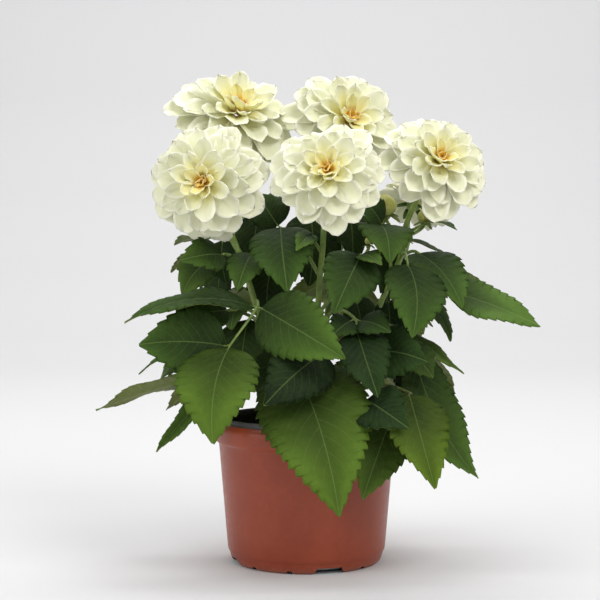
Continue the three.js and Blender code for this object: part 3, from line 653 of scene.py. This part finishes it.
def smooth_path(points, steps):
    """A smooth curve through the points, sampled evenly between each two of them."""
    points = [points[0] * 2 - points[1]] + list(points) + [points[-1] * 2 - points[-2]]
    path = []
    for p0, p1, p2, p3 in zip(points, points[1:], points[2:], points[3:]):
        t0 = 0
        t1 = t0 + (p1 - p0).length ** 0.5
        t2 = t1 + (p2 - p1).length ** 0.5
        t3 = t2 + (p3 - p2).length ** 0.5
        for step in range(steps):
            t = t1 + (t2 - t1) * step / steps
            a1 = p0.lerp(p1, (t - t0) / (t1 - t0))
            a2 = p1.lerp(p2, (t - t1) / (t2 - t1))
            a3 = p2.lerp(p3, (t - t2) / (t3 - t2))
            b1 = a1.lerp(a2, (t - t0) / (t2 - t0))
            b2 = a2.lerp(a3, (t - t1) / (t3 - t1))
            path.append(b1.lerp(b2, (t - t1) / (t2 - t1)))
    return path + [points[-2]]


def new_growth():
    return {"verts": [], "faces": [], "skin": [], "where": [], "tone": []}


def add_tube(growth, path, radii, sides, skin, tone):
    """A round stalk with closed ends. Its place attribute holds how far along and around it is."""
    first = len(growth["verts"])
    across = (path[1] - path[0]).orthogonal().normalized()
    for index, point in enumerate(path):
        along = (path[min(index + 1, len(path) - 1)] - path[max(index - 1, 0)]).normalized()
        across = (across - along * across.dot(along)).normalized()
        other = along.cross(across)
        share = index / (len(path) - 1)
        radius = radii[0] + (radii[1] - radii[0]) * share
        for side in range(sides):
            angle = 2 * math.pi * side / sides
            out = across * math.cos(angle) + other * math.sin(angle)
            growth["verts"].append((point + out * radius) * MM)
            growth["where"].append((share, side / sides, point.z / 100))
            growth["tone"].append(tone)
    last = first + (len(path) - 1) * sides
    for low in range(first, last, sides):
        for side in range(sides):
            after = (side + 1) % sides
            growth["faces"].append((low + side, low + after, low + sides + after, low + sides + side))
    growth["faces"].append(tuple(range(first, first + sides))[::-1])
    growth["faces"].append(tuple(range(last, last + sides)))
    growth["skin"] += [skin] * ((len(path) - 1) * sides + 2)


def add_sheet(growth, grid, thickness, where, tone, skin):
    """A thin leaf or petal from a grid of points: two faces a thickness apart and a rim."""
    rows, columns = len(grid), len(grid[0])
    first = len(growth["verts"])
    for sign in (0.5, -0.5):
        for r in range(rows):
            for c in range(columns):
                along = grid[min(r + 1, rows - 1)][c] - grid[max(r - 1, 0)][c]
                across = grid[r][min(c + 1, columns - 1)] - grid[r][max(c - 1, 0)]
                normal = along.cross(across)
                if normal.length < 1e-9:
                    middle = columns // 2
                    k = r - 1 if r else r + 1
                    normal = along.cross(grid[k][middle + 1] - grid[k][middle - 1])
                growth["verts"].append((grid[r][c] - normal.normalized() * thickness * sign) * MM)
                growth["where"].append(where[r][c])
                growth["tone"].append((tone[0], tone[1], 0.0 if sign > 0 else 1.0))
    count = rows * columns

    def face(*corners):
        growth["faces"].append(tuple(first + corner for corner in corners))
        growth["skin"].append(skin)

    for r in range(rows - 1):
        for c in range(columns - 1):
            a, b = r * columns + c, (r + 1) * columns + c
            face(a, a + 1, b + 1, b)
            face(count + a, count + b, count + b + 1, count + a + 1)
    border = [(0, c) for c in range(columns)]
    border += [(r, columns - 1) for r in range(1, rows)]
    border += [(rows - 1, c) for c in range(columns - 2, -1, -1)]
    border += [(r, 0) for r in range(rows - 2, 0, -1)]
    for (r, c), (r2, c2) in zip(border, border[1:] + border[:1]):
        a, b = r * columns + c, r2 * columns + c2
        face(a, count + a, count + b, b)


def leaf_width(u):
    """The half-width of a leaflet along its length, 1 at its widest."""
    def ovate(x):
        return x ** 0.55 * (1 - x) ** 1.07

    return ovate(u) / ovate(LEAF_PEAK)


def add_blade(growth, item, chance):
    """A leaflet: arched, folded along its midrib, quilted between its veins and toothed."""
    base, tip, width = item["base"], item["tip"], item["width"]
    chord = tip - base
    length = chord.length
    along = chord.normalized()
    middle = base.lerp(tip, 0.5)
    outward = Vector((middle.x * 0.35, middle.y - 20, 0)).normalized()
    sky = UP.lerp(outward, item["lean"])
    side = along.cross(sky).normalized()
    normal = side.cross(along)
    teeth = max(5, round(length / TOOTH_PITCH))
    rows = [(0.0, 1.0, 0.0)]
    pitch = (1 - TEETH_START) / teeth
    for tooth in range(teeth):
        bite = chance.uniform(0.55, 1.35)
        rows += [(TEETH_START + pitch * (tooth + share), 1 + out * bite, ahead * pitch)
                 for share, out, ahead in TOOTH]
    rows.append((1.0, 1.0, 0.0))
    sway = chance.uniform(-0.05, 0.05)
    wave = chance.uniform(0, 6.28)
    curl = chance.uniform(0.0, 0.06)
    grid, where = [], []
    for u, reach, forward in rows:
        half = width / 2 * leaf_width(u) if 0 < u < 1 else 0.0
        line, spots = [], []
        for v in LEAF_COLUMNS:
            edge = abs(v)
            spread = v * half * (1 + (reach - 1) * edge ** 6)
            x = min(u + forward * edge ** 3, 1.0)
            rise = item["arch"] * length * 4 * x * (1 - x) + FOLD * half * edge ** 0.8
            ripple = math.sin(11 * u + wave + (1.3 if v > 0 else 0))
            rise += WAVE_HEIGHT * length * ripple * edge ** 2
            rise -= curl * half * edge ** 4
            phase = (u - VEIN_SWEEP * edge ** VEIN_BEND) * VEINS + (0.5 if v < 0 else 0)
            furrow = math.cos(2 * math.pi * (phase - 0.5)) * edge ** 0.7 * (1 - edge ** 3)
            rise -= QUILT_DEPTH * length * furrow * min(1.0, 6 * (1 - u))
            rise -= MIDRIB_DEPTH * math.exp(-(v * half / MIDRIB_WIDTH) ** 2) * (1 - u)
            bend = sway * length * 4 * x * (1 - x)
            line.append(base + chord * x + side * (spread + bend) + normal * rise)
            spots.append((u, v, half / WIDTH_UNIT))
        grid.append(line)
        where.append(spots)
    tone = item["tone"] if item["tone"] is not None else chance.uniform(0.2, 0.5)
    add_sheet(growth, grid, LEAF_THICKNESS, where, (tone, item["warm"]), LEAF)


def add_leaf(growth, item, chance):
    path = item["path"]
    for entry in item["blades"]:
        fork = min(path, key=lambda point: (point - entry["base"]).length)
        inward = (entry["tip"] - entry["base"]).normalized() * 5
        stalklet = [fork, fork.lerp(entry["base"], 0.5), entry["base"], entry["base"] + inward]
        if (fork - entry["base"]).length < 1:
            stalklet = [entry["base"], entry["base"] + inward]
        add_tube(growth, stalklet, (STALKLET_RADIUS, 0.35), STALKLET_SIDES, STEM, (0.5, 0.3, 0.5))
        add_blade(growth, entry, chance)
    radii = (STALK_RADIUS * 1.25, STALKLET_RADIUS)
    add_tube(growth, smooth_path(path, 5), radii, STALK_SIDES, STEM, (0.45, 0.3, 0))


def add_calyx(growth, seat, facing, scale):
    """The green cup under a flower head, with a ring of bracts bent back round it."""
    turn = UP.rotation_difference(facing).to_matrix()
    first = len(growth["verts"])
    sides = CALYX_SIDES
    for radius, height in CALYX_PROFILE:
        for side in range(sides):
            angle = 2 * math.pi * side / sides
            point = Vector((radius * math.cos(angle), radius * math.sin(angle), height)) * scale
            growth["verts"].append((seat + turn @ point) * MM)
            growth["where"].append((0.9, side / sides, 2))
            growth["tone"].append((0.6, 0.4, 0))
    last = first + (len(CALYX_PROFILE) - 1) * sides
    for low in range(first, last, sides):
        for side in range(sides):
            after = (side + 1) % sides
            growth["faces"].append((low + side, low + sides + side, low + sides + after, low + after))
    growth["faces"].append(tuple(range(first, first + sides)))
    growth["faces"].append(tuple(range(last, last + sides))[::-1])
    growth["skin"] += [STEM] * (last - first + 2)
    for index in range(BRACTS):
        angle = 2 * math.pi * (index + 0.5) / BRACTS
        out = Vector((math.cos(angle), math.sin(angle), 0))
        across = Vector((-math.sin(angle), math.cos(angle), 0))
        grid, where = [], []
        for u in (0, 0.2, 0.4, 0.6, 0.8, 0.93, 1):
            half = 2.7 * math.sin(math.pi * min(0.12 + 0.88 * u, 1)) ** 0.7 if u < 1 else 0
            line, spots = [], []
            for v in (-1, -0.5, 0, 0.5, 1):
                point = out * (3.6 + 9.8 * u) + across * v * half
                point.z = -1.2 - 5.4 * u ** 1.4 + 0.7 * abs(v) * (1 - u)
                line.append(seat + turn @ (point * scale))
                spots.append((u, v, 0.05))
            grid.append(line)
            where.append(spots)
        add_sheet(growth, grid, LEAF_THICKNESS, where, (0.6, 0.4), LEAF)


def growth_mesh(name, growth, materials):
    """The mesh of all tubes and sheets of a growth, with their attributes for the materials."""
    mesh = bpy.data.meshes.new(name)
    mesh.from_pydata(growth["verts"], [], growth["faces"])
    mesh.polygons.foreach_set("material_index", growth["skin"])
    for label in ("where", "tone"):
        values = mesh.attributes.new(f"growth_{label}", "FLOAT_VECTOR", "POINT")
        values.data.foreach_set("vector", [number for row in growth[label] for number in row])
    shape = bmesh.new()
    shape.from_mesh(mesh)
    bmesh.ops.remove_doubles(shape, verts=shape.verts, dist=1e-6)
    write_shape(shape, mesh)
    for material in materials:
        mesh.materials.append(material)
    return mesh


def build_veins(tree, given):
    """The midrib and the side veins that sweep forward from it, as masks."""
    edge = calc(tree, "ABSOLUTE", given["Across"])
    from_middle = times(tree, edge, times(tree, given["Half Width"], WIDTH_UNIT))
    midrib = ramp(tree, from_middle, 0.2, 0.6, 1.0, 0.0)
    swept = times(tree, calc(tree, "POWER", edge, VEIN_BEND), VEIN_SWEEP)
    left = times(tree, calc(tree, "LESS_THAN", given["Across"], 0.0), 0.5)
    phase = times(tree, calc(tree, "SUBTRACT", given["Along"], swept), VEINS)
    turn = calc(tree, "FRACT", calc(tree, "ADD", calc(tree, "ADD", phase, left), 4.0))
    away = calc(tree, "ABSOLUTE", calc(tree, "SUBTRACT", turn, 0.5))
    thin = ramp(tree, edge, 0.3, 1.0, 0.045, 0.02)
    side_veins = ramp(tree, away, times(tree, thin, 0.4), thin, 1.0, 0.0)
    side_veins = times(tree, side_veins, ramp(tree, edge, 0.75, 1.0, 1.0, 0.0))
    return {"Mask": calc(tree, "MAXIMUM", midrib, times(tree, side_veins, 0.45))}


veins = mask_group("leaf_veins", [("Along", 0), ("Across", 0), ("Half Width", 0.4)], build_veins)


def attribute_axes(tree, name):
    step = tree.nodes.new("ShaderNodeAttribute")
    step.attribute_name = name
    return place_axes(tree, step.outputs["Vector"])


leaf_green, tree, shader, place = new_material("dahlia_leaf", Roughness=0.55)
shader.inputs["Specular IOR Level"].default_value = 0.1
along, across, half_width = attribute_axes(tree, "growth_where")
tone, warm, below = attribute_axes(tree, "growth_tone")
vein = use_group(tree, veins, Along=along, Across=across, Half_Width=half_width)
patches = use_group(tree, mottle, Vector=place, Scale=45)
# Painted shade: a leaflet's top is darker towards its base, where the leaflets above shade it. It is
# also lighter towards its edges, and a leaflet's tone paints in its shade or sheen as well as its own
# tone.
margin = ramp(tree, calc(tree, "ABSOLUTE", across), 0.0, 0.95, 0.74, 1.45)
lengthwise = times(tree, ramp(tree, along, 0.1, 0.95, 0.25, 1.45), margin)
tone_and_painted_shade = calc(tree, "ADD", times(tree, tone, lengthwise), times(tree, patches["Mask"], 0.12))
dark_green = blend_colours(tree, warm, srgb(14, 30, 12), srgb(26, 38, 10))
bright_green = blend_colours(tree, warm, srgb(70, 102, 42), srgb(98, 124, 34))
top_green = blend_colours(tree, tone_and_painted_shade, dark_green, bright_green)
top_green = blend_colours(tree, times(tree, vein["Mask"], 0.26), top_green, srgb(132, 160, 88))
under_green = blend_colours(tree, vein["Mask"], srgb(112, 126, 64), srgb(150, 160, 98))
tree.links.new(blend_colours(tree, below, top_green, under_green), shader.inputs["Base Color"])
cells = tree.nodes.new("ShaderNodeTexVoronoi")
cells.feature = "DISTANCE_TO_EDGE"
cells.inputs["Scale"].default_value = 620
tree.links.new(place, cells.inputs["Vector"])
puffed = calc(tree, "SUBTRACT", ramp(tree, cells.outputs[0], 0.0, 0.25, 0.0, 0.35), vein["Mask"])
add_bump(tree, shader, puffed, 0.45, 0.0006)

stem_green, tree, shader, place = new_material("dahlia_stem", Roughness=0.42)
height_up = place_axes(tree, place)[2]
patches = use_group(tree, mottle, Vector=place, Scale=70)
fresh = blend_colours(tree, patches["Mask"], srgb(96, 122, 52), srgb(134, 156, 74))
ruddy = blend_colours(tree, patches["Mask"], srgb(70, 52, 34), srgb(92, 92, 48))
tree.links.new(blend_colours(tree, ramp(tree, height_up, 0.17, 0.1), fresh, ruddy),
               shader.inputs["Base Color"])
add_bump(tree, shader, patches["Fine"], 0.2, 0.0004)

for number, (name, item) in enumerate(STEMS.items()):
    chance = random.Random(40 + number)
    growth = new_growth()
    place, facing, radius = item["bloom"]
    facing = Vector(facing).normalized()
    seat = Vector(place) - facing * (CORE_BOTTOM + GAP)
    foot = [Vector((*item["root"], height)) for height in
            (SOIL_TOP - HOLE_DEPTH, SOIL_TOP - 6, SOIL_TOP + 4)]
    neck = [seat - facing * 16, seat - facing * 3]
    path = smooth_path(foot + [Vector(point) for point in item["stem"]] + neck, 6)
    add_tube(growth, path, (STEM_RADIUS * 1.05, STEM_RADIUS * 0.85), STEM_SIDES, STEM, (0.5, 0.3, 0))
    add_calyx(growth, seat, facing, 1)
    for entry in item["leaves"]:
        add_leaf(growth, entry, chance)
    for bud in item.get("buds", []):
        toward = Vector(bud["facing"]).normalized()
        under = Vector(bud["place"]) - toward * GAP
        path = smooth_path([Vector(point) for point in bud["stem"]] + [under], 5)
        radii = (BUD_STEM_RADIUS, BUD_STEM_RADIUS * 0.8)
        add_tube(growth, path, radii, BUD_STEM_SIDES, STEM, (0.5, 0.3, 0))
        add_calyx(growth, under, toward, bud["radius"] / 10)
        for entry in bud["leaves"]:
            add_leaf(growth, entry, chance)
    mesh = growth_mesh(f"stem_and_leaves_{name}", growth, (leaf_green, stem_green))
    mesh_piece(f"stem_and_leaves_{name}", mesh, "leaf", f"leafy_stem_{name}")


# Blooms.
# Double dahlia flower heads. The petals grow in a golden-angle spiral, long spoon-shaped ones at the
# back and ever shorter, rolled ones round the heart, cream with yellow roots and an amber heart. A
# glow of light near the heart and highlights on the pale edges are painted into the colour.
GOLDEN_ANGLE = math.pi * (3 - math.sqrt(5))
PETALS = 54
CROWDING = 1.1
# Petal forms from the outermost to the heart, and how many of each.
STAGES = 9
VARIANTS = 2
PETAL_THICKNESS = 0.011
PETAL_ROWS = (0, 0.1, 0.24, 0.4, 0.56, 0.7, 0.82, 0.91, 0.97, 1)
PETAL_COLUMNS = (-1, -0.72, -0.36, 0, 0.36, 0.72, 1)


def petal_form(stage, variant, chance):
    """One petal for a bloom of radius 1, lying along +X with its root at the origin."""
    share = stage / (STAGES - 1)

    def between(outer, heart):
        return outer + (heart - outer) * share

    length = 0.9 - 0.4 * share - 0.3 * share ** 8
    width = 0.54 - 0.36 * share ** 2
    bend = math.radians(between(-26, 0))
    curl = math.radians(between(16, 40)) * chance.uniform(0.3, 1.5)
    roll = (0.7 + 0.9 * share ** 3) * chance.uniform(0.8, 1.25)
    wave = chance.uniform(0, 6.28)
    skew = chance.uniform(-0.04, 0.04)
    grid, where = [], []
    x = z = 0.0
    previous = 0.0
    for t in PETAL_ROWS:
        middle = (t + previous) / 2
        late = max(0.0, (middle - 0.6) / 0.4)
        angle = bend * middle + curl * late ** 2
        x += length * (t - previous) * math.cos(angle)
        z += length * (t - previous) * math.sin(angle)
        previous = t
        half = width / 2 * (0.16 + 0.9 * t ** 0.75) * max(0.0, 1 - t ** 3.4) ** 0.64 / 0.71
        arc = roll * (1.15 - 0.45 * t)
        heading = Vector((-math.sin(angle), 0, math.cos(angle)))
        line, spots = [], []
        for v in PETAL_COLUMNS:
            lift = half * (1 - math.cos(arc * v)) / arc * 1.15
            lift += 0.012 * math.sin(9 * t + wave + 2 * v) * abs(v) ** 2
            lift -= 0.01 * math.cos(v * 7) * t
            across = half * math.sin(arc * v) / arc + skew * t * t
            point = Vector((x, across, z)) + heading * lift
            line.append(point / MM)
            spots.append((t, v, share))
        grid.append(line)
        where.append(spots)
    growth = new_growth()
    add_sheet(growth, grid, PETAL_THICKNESS / MM, where, (0, 0), LEAF)
    return growth_mesh(f"petal_{stage:02d}_{variant}", growth, ())


def vector_calc(tree, operation, first, second=None):
    """One step of vector mathematics. A length comes out as a number, all else as a vector."""
    step = tree.nodes.new("ShaderNodeVectorMath")
    step.operation = operation
    feed(tree, first, step.inputs[0])
    if second is not None:
        feed(tree, second, step.inputs["Scale" if operation == "SCALE" else 1])
    return step.outputs["Value" if operation == "LENGTH" else 0]


def bloom_growth(tree, given):
    """Petals on a golden-angle spiral, lying back outside and standing up towards the heart."""
    count = given["Petals"]
    line = geo(tree, "GeometryNodeMeshLine", Count=count)
    index = tree.nodes.new("GeometryNodeInputIndex").outputs[0]
    share = calc(tree, "POWER", calc(tree, "DIVIDE", index, calc(tree, "SUBTRACT", count, 1.0)),
                 given["Crowding"])
    turn = times(tree, index, GOLDEN_ANGLE)

    def between(outer, heart, weight=share):
        return calc(tree, "MULTIPLY_ADD", weight, heart - outer, outer)

    def random_between(low, high, seed):
        step = geo(tree, "FunctionNodeRandomValue", data_type="FLOAT")
        step.inputs[2].default_value = low
        step.inputs[3].default_value = high
        step.inputs["Seed"].default_value = seed
        shifted = calc(tree, "ADD", index, times(tree, given["Seed"], 97.0))
        tree.links.new(shifted, step.inputs["ID"])
        return step.outputs[1]

    rise = between(math.radians(-6), math.radians(74), calc(tree, "POWER", share, 2.1))
    tilt = times(tree, calc(tree, "ADD", rise, random_between(-0.11, 0.11, 1)), -1.0)
    twist = calc(tree, "ADD", turn, random_between(-0.1, 0.1, 2))
    out = times(tree, between(0.17, 0.02), given["Radius"])
    place = vector_of(tree, times(tree, calc(tree, "COSINE", turn), out),
                      times(tree, calc(tree, "SINE", turn), out),
                      times(tree, between(0.03, 0.17), given["Radius"]))
    moved = geo(tree, "GeometryNodeSetPosition", Geometry=line.outputs[0], Position=place)
    forms = geo(tree, "GeometryNodeCollectionInfo", Collection=given["Petal Forms"],
                Separate_Children=True, Reset_Children=True)
    stage = calc(tree, "ROUND", times(tree, share, STAGES - 1.0))
    pick = calc(tree, "MULTIPLY_ADD", stage, float(VARIANTS),
                calc(tree, "GREATER_THAN", random_between(0, 1, 3), 0.5))
    size = times(tree, given["Radius"], random_between(0.92, 1.07, 4))
    petals = geo(tree, "GeometryNodeInstanceOnPoints", Points=moved.outputs[0],
                 Instance=forms.outputs[0], Pick_Instance=True, Instance_Index=pick,
                 Rotation=vector_of(tree, random_between(-0.22, 0.22, 5), tilt, twist),
                 Scale=vector_of(tree, size, size, size))
    whole = geo(tree, "GeometryNodeRealizeInstances", Geometry=petals.outputs[0])
    position = tree.nodes.new("GeometryNodeInputPosition").outputs[0]
    stretched = vector_calc(tree, "SCALE", position, calc(tree, "DIVIDE", 2.2, given["Radius"]))
    elsewhere = vector_of(tree, times(tree, given["Seed"], 7.3), 0.0, 0.0)
    drift = tree.nodes.new("ShaderNodeTexNoise")
    tree.links.new(vector_calc(tree, "ADD", stretched, elsewhere), drift.inputs["Vector"])
    centred = vector_calc(tree, "SUBTRACT", drift.outputs[1], (0.5, 0.5, 0.5))
    sway = vector_calc(tree, "SCALE", centred, times(tree, given["Radius"], 0.1))
    swayed = geo(tree, "GeometryNodeSetPosition", Geometry=whole.outputs[0], Offset=sway)
    span = vector_calc(tree, "LENGTH", vector_calc(tree, "MULTIPLY", position, (1, 1, 0)))
    noted = geo(tree, "GeometryNodeStoreNamedAttribute", Geometry=swayed.outputs[0],
                data_type="FLOAT", domain="POINT", Name="from_axis",
                Value=calc(tree, "DIVIDE", span, given["Radius"]))
    return noted.outputs[0]


petal_skin, tree, shader, place = new_material("dahlia_petal", Roughness=0.5)
shader.inputs["Specular IOR Level"].default_value = 0.2
along, across, share = attribute_axes(tree, "growth_where")
distance = tree.nodes.new("ShaderNodeAttribute")
distance.attribute_name = "from_axis"
from_axis = distance.outputs["Fac"]
edge = calc(tree, "ABSOLUTE", across)
rib_place = vector_of(tree, times(tree, across, 7.0), times(tree, along, 1.2), times(tree, share, 40.0))
ribs = noise(tree, rib_place, 1.0)
cream = blend_colours(tree, ribs, srgb(236, 238, 202), srgb(244, 245, 214))
# Paler at the edges and tips: partly the petals' own paler margins and partly a painted highlight where
# the curled edges catch the light.
rim = calc(tree, "MAXIMUM", ramp(tree, edge, 0.6, 1.0), ramp(tree, along, 0.82, 1.0))
pale = blend_colours(tree, times(tree, rim, 0.75), cream, srgb(253, 252, 234))
# Yellow towards the heart: partly the petals' own yellow roots and partly a painted glow of light
# shining through and between the petals.
yellow_root_and_glow = times(tree, ramp(tree, from_axis, 0.12, 0.5, 0.95, 0.0),
             calc(tree, "MULTIPLY_ADD", rim, -0.6, 1.0))
lit = blend_colours(tree, yellow_root_and_glow, pale, srgb(254, 247, 172))
recess = times(tree, ramp(tree, from_axis, 0.05, 0.18, 1.0, 0.0),
               ramp(tree, along, 0.4, 0.9, 1.0, 0.25))
amber = times(tree, calc(tree, "MAXIMUM", recess, ramp(tree, share, 0.9, 1.0, 0.0, 0.8)),
              calc(tree, "MULTIPLY_ADD", rim, -0.5, 1.0))
tree.links.new(blend_colours(tree, amber, lit, srgb(254, 202, 40)), shader.inputs["Base Color"])
add_bump(tree, shader, ribs, 0.25, 0.0008)


def gather_forms(name, meshes):
    """A collection of loose forms, for a growth to place."""
    forms = bpy.data.collections.new(name)
    for mesh in meshes:
        forms.objects.link(bpy.data.objects.new(mesh.name, mesh))
    return forms


def drop_forms(forms):
    for form in list(forms.objects):
        bpy.data.objects.remove(form)
    bpy.data.collections.remove(forms)


def seat_on_stem(mesh, place, facing):
    """Moves a head made upright at the origin to its seat, turned the way that it faces."""
    turn = UP.rotation_difference(Vector(facing).normalized()).to_matrix().to_4x4()
    mesh.transform(Matrix.Translation(Vector(place) * MM) @ turn)


chance = random.Random(5)
petal_forms = gather_forms("petal_forms", [petal_form(stage, variant, chance)
                                           for stage in range(STAGES) for variant in range(VARIANTS)])
for number, (name, item) in enumerate(STEMS.items()):
    place, facing, radius = item["bloom"]
    bloom = grow(f"bloom_{name}", bloom_growth, {
        "Petals": PETALS, "Radius": radius * MM, "Crowding": CROWDING, "Seed": number + 1,
        "Petal Forms": petal_forms, "Material": petal_skin})
    seat_on_stem(bloom, place, facing)
    mesh_piece(f"flower_{name}", bloom, "petal", f"bloom_{name}")
drop_forms(petal_forms)


# Buds.
# Closed flower buds, their petals furled over each other like scales, cream-green at the root and
# yellower at the tip.
BUD_PETALS = 13
BUD_PETAL_THICKNESS = 0.05
BUD_HEIGHT = 1.72


def bud_growth(tree, given):
    """Scale-like petals round one axis, each a little smaller and taller than the one outside it."""
    line = geo(tree, "GeometryNodeMeshLine", Count=given["Petals"])
    index = tree.nodes.new("GeometryNodeInputIndex").outputs[0]
    share = calc(tree, "DIVIDE", index, given["Petals"])
    still = geo(tree, "GeometryNodeSetPosition", Geometry=line.outputs[0],
                Position=vector_of(tree, 0.0, 0.0, 0.0))
    form = geo(tree, "GeometryNodeCollectionInfo", Collection=given["Petal Forms"])
    size = times(tree, given["Radius"], calc(tree, "MULTIPLY_ADD", share, -0.16, 1.0))
    tall = times(tree, given["Radius"], calc(tree, "MULTIPLY_ADD", share, 0.06, 0.94))
    scales = geo(tree, "GeometryNodeInstanceOnPoints", Points=still.outputs[0],
                 Instance=form.outputs[0],
                 Rotation=vector_of(tree, 0.0, 0.0, times(tree, index, GOLDEN_ANGLE)),
                 Scale=vector_of(tree, size, size, tall))
    return scales.outputs[0]


grid, where = [], []
for t in (0, 0.12, 0.28, 0.45, 0.6, 0.74, 0.86, 0.94, 1):
    height = BUD_HEIGHT * t
    reach = 0.98 * math.sin(math.pi * min(0.2 + 0.8 * t, 0.995)) ** 0.62
    half = 0.85 * math.sin(math.pi * (0.15 + 0.8 * t)) ** 0.8 if t < 1 else 0.12
    line, spots = [], []
    for v in PETAL_COLUMNS:
        angle = v * half
        point = Vector((reach * math.cos(angle), reach * math.sin(angle), height))
        line.append(point * (1 - 0.03 * abs(v) ** 2) / MM)
        spots.append((t, v, 0.5))
    grid.append(line)
    where.append(spots)
growth = new_growth()
add_sheet(growth, grid, BUD_PETAL_THICKNESS / MM, where, (0, 0), LEAF)
bud_forms = gather_forms("bud_forms", [growth_mesh("bud_petal", growth, ())])

bud_skin, tree, shader, place = new_material("bud_petal", Roughness=0.45)
shader.inputs["Subsurface Weight"].default_value = 0.15
shader.inputs["Subsurface Scale"].default_value = 0.002
along, across, share = attribute_axes(tree, "growth_where")
patches = use_group(tree, mottle, Vector=place, Scale=120)
pale = blend_colours(tree, patches["Mask"], srgb(196, 192, 98), srgb(212, 208, 126))
green_foot = ramp(tree, along, 0.05, 0.6, 0.85, 0.0)
tree.links.new(blend_colours(tree, green_foot, pale, srgb(150, 160, 70)), shader.inputs["Base Color"])
add_bump(tree, shader, patches["Fine"], 0.2, 0.0003)

for name, item in STEMS.items():
    for number, bud in enumerate(item.get("buds", [])):
        mesh = grow(f"bud_{name}", bud_growth, {
            "Petals": BUD_PETALS, "Radius": bud["radius"] * MM, "Petal Forms": bud_forms,
            "Material": bud_skin})
        seat_on_stem(mesh, bud["place"], bud["facing"])
        mesh_piece(f"closed_bud_{name}_{number + 1}", mesh, "bud", f"bud_{name}_{number + 1}")
drop_forms(bud_forms)


# Studio.
# A seamless pale sheet, flat under the pot and curved up far behind it, under large soft lights.
# Sizes here are in metres.
SHEET_FRONT, SHEET_BEND, SHEET_TOP = -3.0, 1.6, 4.0
BEND_RADIUS = 0.9
HALF_SHEET = 4.0

shape = bmesh.new()
sweep = [(SHEET_FRONT, 0.0), (SHEET_BEND, 0.0)]
sweep += [(SHEET_BEND + BEND_RADIUS * math.sin(angle), BEND_RADIUS - BEND_RADIUS * math.cos(angle))
          for angle in (0.3, 0.6, 0.9, 1.2, 1.57)]
sweep.append((SHEET_BEND + BEND_RADIUS, SHEET_TOP))
lines = [[shape.verts.new((x, y, z)) for x in (-HALF_SHEET, HALF_SHEET)] for y, z in sweep]
for low, high in zip(lines, lines[1:]):
    shape.faces.new((low[0], low[1], high[1], high[0]))
sheet_mesh = bpy.data.meshes.new("studio_sheet")
shape.to_mesh(sheet_mesh)
shape.free()
for polygon in sheet_mesh.polygons:
    polygon.use_smooth = True
paper, tree, shader, place = new_material("studio_paper", Roughness=0.8)
shader.inputs["Base Color"].default_value = srgb(214, 214, 215)
sheet_mesh.materials.append(paper)
studio_sheet = add_object("studio_sheet", sheet_mesh)


def softbox(name, location, target, size, power, tint=(1, 1, 1)):
    lamp = bpy.data.lights.new(name, "AREA")
    lamp.shape = "RECTANGLE"
    lamp.size, lamp.size_y = size
    lamp.energy = power
    lamp.color = tint
    holder = add_object(name, lamp)
    holder.location = location
    holder.rotation_euler = (Vector(target) - Vector(location)).to_track_quat("-Z", "Y").to_euler()


softbox("key", (0.9, -1.1, 1.5), (0, 0, 0.2), (1.0, 1.0), 18, (1, 0.985, 0.96))
softbox("fill", (-1.4, -0.9, 0.9), (0, 0, 0.2), (0.9, 1.4), 10)
softbox("overhead", (-0.1, 0.3, 1.9), (0, 0, 0.1), (1.8, 1.8), 19)
softbox("backdrop", (0, 1.2, 2.8), (0, 2.5, 0.8), (3.2, 0.6), 42)
world = bpy.data.worlds.new("studio")
world.use_nodes = True
surroundings = world.node_tree.nodes["Background"]
surroundings.inputs["Color"].default_value = (1, 1, 1, 1)
surroundings.inputs["Strength"].default_value = 0.37
bpy.context.scene.world = world
bpy.context.scene.view_settings.view_transform = "Standard"
